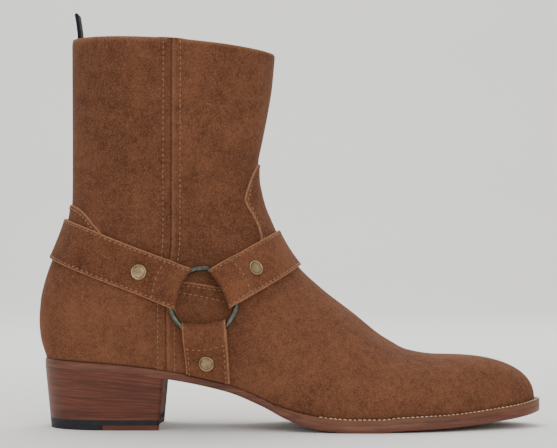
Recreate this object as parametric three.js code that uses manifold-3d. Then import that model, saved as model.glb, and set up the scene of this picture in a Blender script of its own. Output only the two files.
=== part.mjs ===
import * as THREE from "three";
import { mergeVertices } from "three/addons/utils/BufferGeometryUtils.js";
import Module from "manifold-3d";

// Harness boot for the right foot, in millimetres: +X to the toe, +Y to the inner side, +Z up.
// The floor is z = 0 and x = 0 lies under the middle of the heel's rubber top piece.

// The last and the shaft. The counter goes up with the instep.
const lastLength = 290;
const seatBack = -18;
const ballWidth = 92;
const instepHeight = 112;
const counterHeight = 0.875 * instepHeight;
const shaftRise = 92;
const collarWidth = 84;
const collarArch = 2.7;

// Leather of the upper: the wall, the lapped vamp and counter on it, and the turned side seam.
const upperWall = 2.3;
const lapStep = 1.2;
const seamStep = 0.5;
const seamWidth = 13;

// The sole, from the floor up.
const heelRise = 36.5;
const toeSpring = 9;
const outsoleThickness = 4.6;
const weltThickness = 2.7;
const weltEdge = 2.9;
const weltDepth = 9;
const insoleThickness = 3;

// The stacked heel.
const breastAlong = 70;
const heelTaper = 3.6;
const breastRake = 2.8;
const breastHollow = 2.2;
const liftCount = 7;
const rubberThickness = 3;
const topPieceThickness = 3;
const rubberLength = 33.8;

// The harness.
const strapWidth = 25.4;
const strapThickness = 2;
const ringDiameter = 42;
const ringWire = 3.3;
const rivetDiameter = 9.3;
const rivetHeight = 1.5;
const backFold = 14.3;
const frontFold = 11.6;
const lowerFold = 12.1;

// The pull loop at the back of the collar.
const tapeThickness = 0.9;
const tapeWidth = 18;
const loopRise = 16;
const loopDepth = 22;
const loopLean = 1.8;

// The clearance between neighbouring pieces.
const gap = 0.3;

// A smooth curve through points (x, y) that never overshoots them.
function curveThrough(xs, ys) {
  const slopes = ys.map((y, i) => {
    if (i === 0 || i === ys.length - 1) {
      const k = i === 0 ? 0 : i - 1;
      return (ys[k + 1] - ys[k]) / (xs[k + 1] - xs[k]);
    }
    const before = (y - ys[i - 1]) / (xs[i] - xs[i - 1]);
    const after = (ys[i + 1] - y) / (xs[i + 1] - xs[i]);
    return before * after <= 0 ? 0 : (2 * before * after) / (before + after);
  });
  return (x) => {
    let i = 0;
    while (i < xs.length - 2 && x > xs[i + 1]) i += 1;
    const h = xs[i + 1] - xs[i];
    const t = Math.min(1, Math.max(0, (x - xs[i]) / h));
    const s = 1 - t;
    const ends = s * s * (1 + 2 * t) * ys[i] + t * t * (1 + 2 * s) * ys[i + 1];
    return ends + t * s * h * (s * slopes[i] - t * slopes[i + 1]);
  };
}

// A table with named columns gives one curve for each column, over the first one or over the row number.
function curvesOf(names, rows, keyed) {
  const xs = rows.map((row, i) => (keyed ? row[0] : i));
  return Object.fromEntries(
    names.map((name, k) => [name, curveThrough(xs, rows.map((row) => row[k]))]),
  );
}

const lerp = (a, b, t) => a + (b - a) * t;
const clamp01 = (t) => Math.min(1, Math.max(0, t));
const smooth = (t) => clamp01(t) ** 2 * (3 - 2 * clamp01(t));

// Side line of the sole: heel is its share of the heel rise, spring of the toe spring,
// welt of the welt's thickness.
const line = curvesOf(
  ["along", "heel", "spring", "welt"],
  [
    [0.0, 1.0, 0.0, 0.0],
    [0.127, 0.94, 0.0, 0.0],
    [0.25, 0.82, 0.0, 0.0],
    [0.367, 0.627, 0.0, 0.0],
    [0.442, 0.395, 0.0, 0.0],
    [0.49, 0.2, 0.0, 0.45],
    [0.548, 0.052, 0.0, 1.0],
    [0.594, 0.01, 0.0, 1.0],
    [0.62, 0.0, 0.0, 1.0],
    [0.68, 0.0, 0.0, 1.0],
    [0.714, 0.0, 0.11, 1.0],
    [0.816, 0.0, 0.22, 1.0],
    [0.922, 0.0, 0.54, 1.0],
    [0.98, 0.0, 0.79, 1.0],
    [1.0, 0.0, 0.91, 1.0],
    [1.02, 0.0, 1.03, 1.0],
  ],
  true,
);

// Plan of the upper's lower edge: half width and centre shift as shares of half the ball width,
// edge as the sole's share of the welt's projection.
const plan = curvesOf(
  ["along", "half", "shift", "edge"],
  [
    [0.0, 0.65, 0.0, 0.33],
    [0.17, 0.65, 0.0, 0.33],
    [0.3, 0.625, -0.025, 0.33],
    [0.38, 0.605, -0.075, 0.35],
    [0.46, 0.68, -0.12, 0.5],
    [0.54, 0.815, -0.115, 0.9],
    [0.62, 0.935, -0.065, 1.0],
    [0.68, 0.98, -0.02, 1.0],
    [0.72, 0.975, 0.005, 1.0],
    [0.78, 0.9, 0.03, 1.0],
    [0.86, 0.73, 0.06, 1.0],
    [0.93, 0.525, 0.085, 1.05],
    [1.0, 0.36, 0.1, 1.1],
  ],
  true,
);

const heelRound = 0.14;
const toeRound = 0.07;
const toeDrop = 0.2;
const halfBall = ballWidth / 2;
const alongX = (along) => seatBack + along * lastLength;
const alongAt = (x) => (x - seatBack) / lastLength;
const soleZ = (along) => heelRise * line.heel(along) + toeSpring * line.spring(along);
const outsoleTop = (along) => soleZ(along) + outsoleThickness;
const seatZ = (along) => outsoleTop(along) + (gap + weltThickness) * line.welt(along);
const roundOff = (t, p) => (1 - Math.min(1, Math.max(0, t)) ** p) ** (1 / p);
const endRound = (along) =>
  roundOff(1 - along / heelRound, 2.2) * roundOff((along - 1 + toeRound) / toeRound, 2);
const footHalf = (along) => plan.half(along) * halfBall * endRound(along);
const footShift = (along) => plan.shift(along) * halfBall;

// Back line of the upper: how far ahead of the seat it stands, as a share of the last,
// at a share of the counter's height and then of the shaft's rise.
const backLine = curvesOf(
  ["height", "ahead"],
  [
    [0.0, 0.0],
    [0.14, -0.0134],
    [0.23, -0.0155],
    [0.35, -0.0128],
    [0.45, -0.0055],
    [0.57, 0.0078],
    [0.67, 0.0231],
    [0.77, 0.0362],
    [0.87, 0.0452],
    [0.97, 0.048],
    [1.1, 0.0484],
    [2.0, 0.0476],
  ],
  true,
);

// Sections of the form, toe to collar. Each lies in a plane square to the side view, from its base
// (minus its way along the sole, or the height up the back line) to its top, which stands at a
// share along the last, rise shares of the instep's height over the sole and up shares of the shaft.
// swell and shaft give the half width from the foot's own and from the collar's, widest says how
// far up it is, round and back are the exponents of its upper and lower curve, ridge shifts the
// top inwards, arch raises the rim at the sides and low is the share of the points below the widest.
const form = curvesOf(
  ["top", "rise", "up", "base", "swell", "shaft", "widest", "round", "back", "ridge", "arch", "low"],
  [
    [1.0, 0.277, 0.0, -1.05, 1.02, 0.0, 0.25, 2.3, 2.6, 0.1, 0.0, 0.24],
    [0.93, 0.279, 0.0, -0.98, 1.02, 0.0, 0.25, 2.3, 2.6, 0.09, 0.0, 0.24],
    [0.86, 0.284, 0.0, -0.91, 1.02, 0.0, 0.25, 2.25, 2.6, 0.08, 0.0, 0.24],
    [0.8, 0.29, 0.0, -0.85, 1.02, 0.0, 0.25, 2.15, 2.6, 0.07, 0.0, 0.24],
    [0.74, 0.318, 0.0, -0.79, 1.03, 0.0, 0.24, 2.05, 2.6, 0.07, 0.0, 0.24],
    [0.68, 0.415, 0.0, -0.73, 1.04, 0.0, 0.23, 1.95, 2.6, 0.075, 0.0, 0.24],
    [0.62, 0.54, 0.0, -0.67, 1.04, 0.0, 0.23, 1.9, 2.6, 0.08, 0.0, 0.25],
    [0.56, 0.648, 0.0, -0.595, 1.05, 0.0, 0.25, 1.9, 2.6, 0.08, 0.0, 0.27],
    [0.514, 0.737, 0.0, -0.525, 1.13, 0.0, 0.3, 1.95, 2.6, 0.06, 0.0, 0.31],
    [0.48, 0.834, 0.0, -0.435, 0.63, 0.417, 0.38, 2.0, 2.6, 0.04, 0.0, 0.36],
    [0.4555, 0.942, 0.0, -0.32, 0.36, 0.57, 0.46, 2.05, 2.6, 0.02, 0.0, 0.41],
    [0.444, 1.0, 0.0, -0.2, 0.15, 0.7, 0.5, 2.1, 2.6, 0.01, 0.0, 0.45],
    [0.4355, 1.0, 0.091, -0.092, 0.0, 0.8, 0.5, 2.15, 2.6, 0.0, 0.0, 0.48],
    [0.4317, 1.0, 0.153, 0.0, 0.0, 0.79, 0.48, 2.15, 2.6, 0.0, 0.0, 0.5],
    [0.431, 1.0, 0.202, 0.142, 0.0, 0.79, 0.47, 2.15, 2.5, 0.0, 0.0, 0.5],
    [0.4317, 1.0, 0.251, 0.346, 0.0, 0.8, 0.47, 2.15, 2.45, 0.0, 0.0, 0.5],
    [0.4334, 1.0, 0.307, 0.57, 0.0, 0.815, 0.47, 2.15, 2.4, 0.0, 0.0, 0.5],
    [0.4375, 1.0, 0.375, 0.779, 0.0, 0.83, 0.5, 2.15, 2.3, 0.0, 0.0, 0.5],
    [0.4425, 1.0, 0.457, 1.0, 0.0, 0.855, 0.5, 2.15, 2.25, 0.0, 0.0, 0.5],
    [0.4522, 1.0, 0.629, 1.24, 0.0, 0.9, 0.5, 2.15, 2.2, 0.0, 0.0, 0.5],
    [0.4605, 1.0, 0.802, 1.56, 0.0, 0.95, 0.5, 2.15, 2.15, 0.0, 0.4, 0.5],
    [0.4668, 1.0, 1.025, 1.995, 0.0, 1.0, 0.5, 2.15, 2.15, 0.0, 1.0, 0.5],
  ],
  false,
);

const collarRow = 21;
const heelRow = 13;

// The way along the sole as a share of the last: it starts slowly at the heel's round back.
const heelEase = 0.05;
const soleShare = (way) => way - heelEase * (1 - Math.exp(-way / heelEase));

// One section of the form at row u.
function sectionAt(u) {
  const top = form.top(u);
  const drop = roundOff((top - 1 + toeDrop) / toeDrop, 2.2);
  const crown = form.rise(u) * instepHeight * drop;
  const base = Math.abs(u - heelRow) < 1e-9 ? 0 : form.base(u);
  const up = clamp01(base) * counterHeight + Math.max(0, base - 1) * shaftRise;
  const along = soleShare(Math.max(0, -base));
  const low = base < 0 ? footHalf(along) : 0;
  const half = Math.max(
    low * 1.005,
    form.swell(u) * footHalf(along) + (form.shaft(u) * collarWidth) / 2,
  );
  const back = form.back(u);
  const open = Math.acos(Math.min(1, low / Math.max(half, 1e-6)) ** (back / 2));
  return {
    topX: alongX(top),
    topZ: seatZ(top) + crown + form.up(u) * shaftRise,
    baseX: base < 0 ? alongX(along) : seatBack + backLine.ahead(base) * lastLength,
    baseZ: base < 0 ? seatZ(along) : seatZ(0) + up,
    half,
    back,
    open,
    round: form.round(u),
    widest: form.widest(u),
    reach: form.widest(u) / Math.sin(open) ** (2 / back),
    baseY: base < 0 ? footShift(along) : 0,
    topY: form.ridge(u) * halfBall,
    arch: form.arch(u) * collarArch,
    low: form.low(u),
    closed: base >= 0,
  };
}

// A point of the form: v runs from the outer lower edge (or the back line) over the top to the inner one.
function skinPoint(u, v) {
  const s = sectionAt(u);
  const w = s.closed ? v - Math.floor(v) : clamp01(v);
  const share = w < 0.5 ? 2 * w : 2 - 2 * w;
  let t;
  let half;
  if (share < s.low) {
    const angle = s.open * (1 - share / s.low);
    t = s.widest - s.reach * Math.sin(angle) ** (2 / s.back);
    half = s.half * Math.cos(angle) ** (2 / s.back);
  } else {
    const angle = ((share - s.low) / (1 - s.low)) * (Math.PI / 2);
    t = s.widest + (1 - s.widest) * Math.sin(angle) ** (2 / s.round);
    half = s.half * Math.max(0, Math.cos(angle)) ** (2 / s.round);
  }
  const centre = lerp(s.baseY, s.topY, smooth(t));
  const rim = s.half > 0 ? s.arch * (half / s.half) ** 2 : 0;
  return new THREE.Vector3(
    lerp(s.baseX, s.topX, t),
    centre + (w < 0.5 ? -half : half),
    lerp(s.baseZ, s.topZ, t) + rim,
  );
}

// The outward normal of the form.
function skinNormal(u, v) {
  if (u < 0.02) return new THREE.Vector3(1, 0, 0);
  const step = 0.01;
  const turn = 0.004;
  const across = u < heelRow;
  const v0 = across ? Math.max(0, v - turn) : v - turn;
  const v1 = across ? Math.min(1, v + turn) : v + turn;
  const u0 = Math.max(0, u - step);
  const u1 = Math.min(collarRow, u + step);
  const alongU = skinPoint(u1, v).sub(skinPoint(u0, v));
  const alongV = skinPoint(u, v1).sub(skinPoint(u, v0));
  return alongV.cross(alongU).normalize();
}

// A point at a height over the form.
function over(u, v, height) {
  return skinPoint(u, v).addScaledVector(skinNormal(u, v), height);
}

const wasm = await Module();
wasm.setup();

// A closed surface from points and triangles; points that coincide are joined.
function solidOf(points, triangles) {
  const position = new Float32Array(points.flatMap((p) => [p.x, p.y, p.z]));
  const geometry = new THREE.BufferGeometry();
  geometry.setAttribute("position", new THREE.BufferAttribute(position, 3));
  geometry.setIndex(triangles.flat());
  return solidFrom(geometry);
}

function solidFrom(geometry) {
  geometry.deleteAttribute("normal");
  geometry.deleteAttribute("uv");
  const merged = mergeVertices(geometry, 1e-4);
  const index = merged.index.array;
  const kept = [];
  for (let i = 0; i < index.length; i += 3) {
    const [a, b, c] = [index[i], index[i + 1], index[i + 2]];
    if (a !== b && b !== c && a !== c) kept.push(a, b, c);
  }
  const build = (triVerts) =>
    new wasm.Manifold(
      new wasm.Mesh({
        numProp: 3,
        vertProperties: merged.attributes.position.array,
        triVerts: new Uint32Array(triVerts),
      }),
    );
  const made = build(kept);
  if (made.volume() > 0) return made;
  for (let i = 0; i < kept.length; i += 3) {
    const first = kept[i];
    kept[i] = kept[i + 1];
    kept[i + 1] = first;
  }
  return build(kept);
}

// A body between two grids of points with the same rows and columns.
function bodyBetween(lower, upper) {
  const rows = lower.length;
  const columns = lower[0].length;
  const points = [...lower.flat(), ...upper.flat()];
  const low = (i, j) => i * columns + j;
  const high = (i, j) => (rows + i) * columns + j;
  const triangles = [];
  const quad = (a, b, c, d) => triangles.push([a, b, c], [a, c, d]);
  for (let i = 0; i < rows - 1; i += 1) {
    for (let j = 0; j < columns - 1; j += 1) {
      quad(high(i, j), high(i + 1, j), high(i + 1, j + 1), high(i, j + 1));
      quad(low(i, j), low(i, j + 1), low(i + 1, j + 1), low(i + 1, j));
    }
    quad(low(i, 0), low(i + 1, 0), high(i + 1, 0), high(i, 0));
    const last = columns - 1;
    quad(low(i + 1, last), low(i, last), high(i, last), high(i + 1, last));
  }
  for (let j = 0; j < columns - 1; j += 1) {
    quad(low(0, j + 1), low(0, j), high(0, j), high(0, j + 1));
    const last = rows - 1;
    quad(low(last, j), low(last, j + 1), high(last, j + 1), high(last, j));
  }
  return solidOf(points, triangles);
}

// The whole form as a solid at a height over its skin. It runs down below the floor under the
// sole's edge, and it can run up past the collar.
function formSolid(height, rows, columns, chimney) {
  const grid = rows.map((u) =>
    Array.from({ length: columns + 1 }, (_, j) => over(u, j / columns, height)),
  );
  const top = grid[grid.length - 1].map((p) => p.clone());
  if (chimney > 0) {
    top.forEach((p) => {
      p.z += chimney;
    });
    grid.push(top);
  }
  const heel = rows.indexOf(heelRow);
  const last = grid.length - 1;
  const points = [];
  const indexOf = (p) => points.push(p) - 1;
  const tip = indexOf(grid[0][0]);
  const at = grid.map((row, i) => {
    const ids = row.map((p, j) => {
      if (i === 0) return tip;
      return i >= heel && j === columns ? -1 : indexOf(p);
    });
    if (i >= heel) ids[columns] = ids[0];
    return ids;
  });
  const foot = (i, j) => {
    const p = points[at[i][j]];
    return indexOf(new THREE.Vector3(p.x, p.y, -10));
  };
  const outer = [foot(0, 0)];
  const inner = [outer[0]];
  for (let i = 1; i <= heel; i += 1) {
    outer.push(foot(i, 0));
    inner.push(i === heel ? outer[heel] : foot(i, columns));
  }
  const triangles = [];
  const quad = (a, b, c, d) => triangles.push([a, b, c], [a, c, d]);
  for (let i = 0; i < last; i += 1) {
    for (let j = 0; j < columns; j += 1) {
      quad(at[i][j], at[i][j + 1], at[i + 1][j + 1], at[i + 1][j]);
    }
  }
  for (let i = 0; i < heel; i += 1) {
    quad(at[i][0], at[i + 1][0], outer[i + 1], outer[i]);
    quad(at[i + 1][columns], at[i][columns], inner[i], inner[i + 1]);
    quad(outer[i], outer[i + 1], inner[i + 1], inner[i]);
  }
  for (let j = 0; j < columns / 2; j += 1) {
    const rim = at[last];
    quad(rim[j], rim[j + 1], rim[columns - j - 1], rim[columns - j]);
  }
  return solidOf(
    points,
    triangles.filter(([a, b, c]) => a !== b && b !== c && a !== c),
  );
}

// A straight prism through the boot along Y from an outline in the side view.
function prism(outline) {
  const shape = new THREE.Shape(outline.map(([x, z]) => new THREE.Vector2(x, z)));
  const reach = 2 * ballWidth;
  const geometry = new THREE.ExtrudeGeometry(shape, {
    depth: 2 * reach,
    bevelEnabled: false,
    curveSegments: 1,
  });
  geometry.rotateX(Math.PI / 2);
  geometry.translate(0, reach, 0);
  return solidFrom(geometry);
}

// An outline moved outwards by a distance.
function grown(outline, distance) {
  const area = outline.reduce((sum, [x, z], i) => {
    const [nextX, nextZ] = outline[(i + 1) % outline.length];
    return sum + x * nextZ - nextX * z;
  }, 0);
  const turn = Math.sign(area);
  return outline.map(([x, z], i) => {
    const [px, pz] = outline[(i + outline.length - 1) % outline.length];
    const [nx, nz] = outline[(i + 1) % outline.length];
    const before = new THREE.Vector2(z - pz, px - x).normalize();
    const after = new THREE.Vector2(nz - z, x - nx).normalize();
    const out = before.clone().add(after);
    const scale = (2 * distance * turn) / Math.max(0.5, out.lengthSq());
    return [x + out.x * scale, z + out.y * scale];
  });
}

// Places in the side view as shares: along the last, and of the height of the instep's crest.
const crest = seatZ(0.442) + instepHeight;
const place = (along, rise) => [alongX(along), rise * crest];

// Rows of the form: close together at the toe tip and round the heel's corner.
const fineRows = [
  0, 0.07, 0.25, 0.6, 1.1, 1.7, 2.5, 3.3, 4.2, 5.1, 6, 7, 8, 9, 9.8, 10.6, 11.3, 11.9, 12.3,
  12.65, 13, 13.4, 14, 14.8, 15.6, 16.4, 17.2, 18, 19.2, 21,
];
const coarseRows = [
  0, 0.1, 0.4, 0.9, 1.6, 2.6, 3.8, 5, 6.4, 8, 9, 10, 11, 12, 12.5, 13, 13.6, 14.6, 16, 17.5, 19,
  21,
];
const fineColumns = 26;
const coarseColumns = 24;

// Lapped edge of the vamp tongue and the counter in the side view, front to back.
const lapEdge = [
  [0.455, 1.222],
  [0.439, 1.214],
  [0.4275, 1.187],
  [0.4175, 1.142],
  [0.4095, 1.084],
  [0.403, 1.037],
  [0.4105, 0.997],
  [0.4225, 0.956],
  [0.432, 0.909],
  [0.4385, 0.858],
  [0.428, 0.787],
  [0.401, 0.71],
  [0.361, 0.64],
  [0.289, 0.666],
  [0.2365, 0.668],
  [0.186, 0.719],
  [0.139, 0.799],
  [0.112, 0.896],
  [0.1, 0.922],
  [0.085, 0.963],
  [0.0685, 0.994],
  [0.0525, 1.011],
  [0.02, 1.015],
].map(([along, rise]) => place(along, rise));
const beyond = 60;
const lapOutline = [
  [alongX(1) + beyond, lapEdge[0][1]],
  ...lapEdge,
  [seatBack - beyond, lapEdge[lapEdge.length - 1][1]],
  [seatBack - beyond, -beyond],
  [alongX(1) + beyond, -beyond],
];

// Centre line of the side seam, collar to sole, and the band round it.
const seamLine = [
  [0.2605, 2.2],
  [0.256, 0.83],
  [0.2465, 0.65],
  [0.2465, -0.2],
].map(([along, rise]) => place(along, rise));
const seamBand = (extra) => [
  ...seamLine.map(([x, z]) => [x + seamWidth / 2 + extra, z]),
  ...[...seamLine].reverse().map(([x, z]) => [x - seamWidth / 2 - extra, z]),
];

// Everything below the sole's top face.
const seatStations = Array.from({ length: 51 }, (_, i) => i / 50);
const belowSeat = prism([
  [alongX(-0.2), seatZ(0) + gap],
  ...seatStations.map((along) => [alongX(along), seatZ(along) + gap]),
  [alongX(1.2), seatZ(1) + gap],
  [alongX(1.2), -beyond],
  [alongX(-0.2), -beyond],
]);

const lapPrism = prism(lapOutline);
const seamPrism = prism(seamBand(0));
const innerForm = formSolid(-upperWall, coarseRows, coarseColumns, 2 * collarArch + 10);
const upper = formSolid(0, fineRows, fineColumns, 0)
  .add(formSolid(lapStep, fineRows, fineColumns, 0).intersect(lapPrism))
  .add(formSolid(seamStep, fineRows, fineColumns, 0).intersect(seamPrism))
  .add(
    formSolid(lapStep + seamStep, fineRows, fineColumns, 0)
      .intersect(seamPrism)
      .intersect(lapPrism),
  )
  .subtract(innerForm)
  .subtract(belowSeat);

// The upper's outer faces moved out by the clearance: what the straps are cut by.
const clearOfUpper = formSolid(gap, fineRows, fineColumns, 0)
  .add(formSolid(lapStep + gap, fineRows, fineColumns, 0).intersect(prism(grown(lapOutline, gap))))
  .add(
    formSolid(lapStep + seamStep + gap, fineRows, fineColumns, 0).intersect(
      prism(seamBand(gap)),
    ),
  );

// The insole board inside the wall.
const aboveInsole = prism([
  [alongX(-0.2), seatZ(0) + gap + insoleThickness],
  ...seatStations.map((along) => [alongX(along), seatZ(along) + gap + insoleThickness]),
  [alongX(1.2), seatZ(1) + gap + insoleThickness],
  [alongX(1.2), 3 * instepHeight],
  [alongX(-0.2), 3 * instepHeight],
]);
const insole = formSolid(-upperWall - 2 * gap, coarseRows, coarseColumns, 0)
  .subtract(belowSeat)
  .subtract(aboveInsole);

// A point of the sole's plan at a distance outside the foot's own edge.
function planPoint(along, side, distance) {
  const at = (share) =>
    new THREE.Vector2(alongX(share), footShift(share) + side * footHalf(share));
  const here = at(along);
  if (along <= 0) return new THREE.Vector2(here.x - distance, footShift(0));
  if (along >= 1) return new THREE.Vector2(here.x + distance, footShift(1));
  const tangent = at(Math.min(1, along + 1e-4)).sub(at(Math.max(0, along - 1e-4)));
  const normal = new THREE.Vector2(-tangent.y, tangent.x).normalize();
  return here.addScaledVector(normal, side * distance);
}
const soleReach = (along) => lapStep + plan.edge(along) * weltEdge;
const raised = (p, heightAt) => new THREE.Vector3(p.x, p.y, heightAt(alongAt(p.x)));

const heelEnd = [0, 0.0015, 0.006, 0.014, 0.026, 0.043, 0.066, 0.1, 0.14];
const toeEnd = [0.93, 0.944, 0.957, 0.97, 0.981, 0.99, 0.996, 0.9992, 1];
const middle = [
  0.19, 0.25, 0.3, 0.335, 0.367, 0.39, 0.415, 0.44, 0.465, 0.49, 0.515, 0.545, 0.57, 0.594,
  0.62, 0.68, 0.714, 0.76, 0.816, 0.86, 0.9,
];
const soleStations = [...heelEnd, ...middle, ...toeEnd];

// The outsole: its edge stands out by the welt's projection round the forefoot.
const outsoleGrid = (heightAt) =>
  soleStations.map((along) => {
    const outer = planPoint(along, -1, soleReach(along));
    const inner = planPoint(along, 1, soleReach(along));
    return [0, 0.5, 1].map((share) => raised(outer.clone().lerp(inner, share), heightAt));
  });
const outsole = bodyBetween(outsoleGrid(soleZ), outsoleGrid(outsoleTop));

// The welt: a strip round the forefoot, thinned out at both ends in the waist.
const weltStart = 0.47;
const weltSide = soleStations.filter((along) => along > weltStart && along < 1);
const weltPath = [
  ...[weltStart, ...weltSide].map((along) => [along, -1]),
  [1, 1],
  ...[weltStart, ...weltSide].reverse().map((along) => [along, 1]),
];
const weltRail = (heightAt) =>
  weltPath.map(([along, side]) => {
    const outer = raised(planPoint(along, side, soleReach(along)), heightAt);
    const seat = raised(planPoint(along, side, 0), heightAt);
    const inner = raised(planPoint(along, side, -weltDepth), heightAt);
    return [outer, seat, inner];
  });
const welt = bodyBetween(
  weltRail((along) => outsoleTop(along) + gap),
  weltRail(seatZ),
);

// The heel: layers on the outsole's own plan, drawn in towards the floor.
const breast = breastAlong / lastLength;
const heelStations = [0, 0.003, 0.013, 0.032, 0.06, 0.095, 0.14, 0.2, breast];
const heelColumns = [0, 0.5, 1];
function heelPoint(along, share, height) {
  const outer = planPoint(along, -1, soleReach(along));
  const inner = planPoint(along, 1, soleReach(along));
  const p = outer.lerp(inner, share);
  const down = 1 - height / soleZ(along);
  const back = alongX(0) - soleReach(0);
  const front = alongX(breast);
  const run = (p.x - back) / (front - back);
  const hollow = breastHollow * (1 - (2 * share - 1) ** 2) * run ** 4;
  const x = lerp(back + heelTaper * down, front - breastRake * down, run) - hollow;
  return new THREE.Vector3(x, p.y * (1 - 0.03 * down), height);
}
function heelLayer(stations, lowAt, highAt) {
  const grid = (heightAt) =>
    stations.map((along) =>
      heelColumns.map((share) => heelPoint(along, share, heightAt(along))),
    );
  return bodyBetween(grid(lowAt), grid(highAt));
}
const stackFoot = topPieceThickness + rubberThickness;
const liftFace = (k) => (along) =>
  lerp(stackFoot, soleZ(along) - gap / 2, k / liftCount);
const lifts = Array.from({ length: liftCount }, (_, k) =>
  heelLayer(
    heelStations,
    (along) => liftFace(k)(along) + gap / 2,
    (along) => liftFace(k + 1)(along) - gap / 2,
  ),
);
const rubberLayer = heelLayer(
  heelStations,
  () => topPieceThickness + gap / 2,
  () => stackFoot - gap / 2,
);
const rubberEnd = rubberLength / lastLength;
const topPiece = (stations) =>
  heelLayer(
    stations,
    () => 0,
    () => topPieceThickness - gap / 2,
  );
const topPieceRubber = topPiece([
  ...heelStations.filter((along) => along < rubberEnd - 0.005),
  rubberEnd,
]);
const topPieceLeather = topPiece([
  rubberEnd + gap / lastLength,
  ...heelStations.filter((along) => along > rubberEnd + 0.01),
]);

// Where the ring's centre lies in the side view.
const [ringX, ringZ] = place(0.3234, 0.578);
const ringCentre = new THREE.Vector2(ringX, ringZ);

// The row and column of the form at a place in the side view, on the outer or the inner side.
function locate(x, z, side) {
  let best = [Infinity, 0, 0];
  for (let u = 4; u <= 20; u += 0.5) {
    for (let v = 0.03; v < 0.48; v += 0.03) {
      const p = skinPoint(u, side < 0 ? v : 1 - v);
      const far = Math.hypot(p.x - x, p.z - z);
      if (far < best[0]) best = [far, u, v];
    }
  }
  let [, u, v] = best;
  for (let k = 0; k < 25; k += 1) {
    const at = (a, b) => skinPoint(a, side < 0 ? b : 1 - b);
    const p = at(u, v);
    const du = at(u + 1e-3, v).sub(p).multiplyScalar(1e3);
    const dv = at(u, v + 1e-4).sub(p).multiplyScalar(1e4);
    const det = du.x * dv.z - dv.x * du.z;
    const ex = x - p.x;
    const ez = z - p.z;
    u += THREE.MathUtils.clamp((ex * dv.z - ez * dv.x) / det, -0.5, 0.5);
    v += THREE.MathUtils.clamp((ez * du.x - ex * du.z) / det, -0.04, 0.04);
    v = THREE.MathUtils.clamp(v, 0.002, 0.495);
  }
  return [u, v];
}

// The row where column v of the form crosses a line of the side view, near a first guess.
function crossing(v, origin, normal, offset, guess) {
  const miss = (u) => {
    const p = skinPoint(u, v);
    return (p.x - origin.x) * normal.x + (p.z - origin.y) * normal.y - offset;
  };
  let u = guess;
  for (let k = 0; k < 20; k += 1) {
    const slope = (miss(u + 0.004) - miss(u - 0.004)) / 0.008;
    u -= THREE.MathUtils.clamp(miss(u) / slope, -0.3, 0.3);
  }
  return u;
}

// Follows a line of the side view over the form from a start, away from the ring, to column stop.
// Gives places of row, column and length.
function follow(start, origin, aim, offset, side, stop) {
  const columnScale = 20;
  const stride = 1.5;
  const normal = new THREE.Vector2(-aim.y, aim.x);
  const at = (u, v) => skinPoint(u, side < 0 ? v : 1 - v);
  const miss = (p) =>
    (p.x - origin.x) * normal.x + (p.z - origin.y) * normal.y - offset;
  let [u, v] = start;
  let length = 0;
  let heading = new THREE.Vector3(aim.x, 0, aim.y);
  const path = [[u, v, 0]];
  for (let k = 0; k < 400; k += 1) {
    const here = at(u, v);
    const alongU = at(u + 1e-3, v).sub(here).multiplyScalar(1e3);
    const alongV = at(u, v + 1e-4).sub(here).multiplyScalar(1e4 / columnScale);
    const slopeU = alongU.x * normal.x + alongU.z * normal.y;
    const slopeV = alongV.x * normal.x + alongV.z * normal.y;
    const step = alongU.clone().multiplyScalar(-slopeV).addScaledVector(alongV, slopeU);
    const sense = (step.dot(heading) < 0 ? -stride : stride) / step.length();
    heading = step.normalize().multiplyScalar(Math.sign(sense));
    let nextU = u - slopeV * sense;
    let nextV = v + (slopeU * sense) / columnScale;
    const pull = miss(at(nextU, nextV)) / (slopeU ** 2 + slopeV ** 2);
    nextU -= pull * slopeU;
    nextV -= (pull * slopeV) / columnScale;
    const over = stop > 0.25 ? nextV >= stop : nextV <= stop + 1e-4;
    if (over) {
      const lastV = side < 0 ? stop : 1 - stop;
      const lastU = crossing(lastV, origin, normal, offset, u);
      length += at(lastU, stop).distanceTo(here);
      path.push([lastU, stop, length]);
      return path;
    }
    length += at(nextU, nextV).distanceTo(here);
    u = nextU;
    v = nextV;
    path.push([u, v, length]);
  }
  return path;
}

// The plane of a ring on one side: on the skin's normal at its centre, clear of all it lies over.
const ringRadius = (ringDiameter - ringWire) / 2;
function ringFrame(side) {
  const [u, v] = locate(ringX, ringZ, side);
  const w = side < 0 ? v : 1 - v;
  const foot = skinPoint(u, w);
  const axis = skinNormal(u, w);
  const turn = new THREE.Quaternion().setFromUnitVectors(new THREE.Vector3(0, 0, 1), axis);
  const right = new THREE.Vector3(1, 0, 0).applyQuaternion(turn);
  const up = new THREE.Vector3(0, 1, 0).applyQuaternion(turn);
  let rise = -Infinity;
  for (let k = 0; k < 24; k += 1) {
    const angle = (k / 24) * 2 * Math.PI;
    const p = foot
      .clone()
      .addScaledVector(right, ringRadius * Math.cos(angle))
      .addScaledVector(up, ringRadius * Math.sin(angle));
    const [pu, pv] = locate(p.x, p.z, side);
    const under = skinPoint(pu, side < 0 ? pv : 1 - pv);
    rise = Math.max(rise, under.sub(foot).dot(axis));
  }
  const level = rise + lapStep + gap + strapThickness * 0.8 + gap + ringWire / 2;
  const centre = foot.clone().addScaledVector(axis, level);
  return { centre, axis, turn, side };
}
const rings = [ringFrame(-1), ringFrame(1)];
const ringGeometry = (wire) =>
  new THREE.TorusGeometry(ringRadius, wire / 2, 7, 28);
function placed(geometry, frame) {
  geometry.applyQuaternion(frame.turn);
  geometry.translate(frame.centre.x, frame.centre.y, frame.centre.z);
  return geometry;
}

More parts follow.
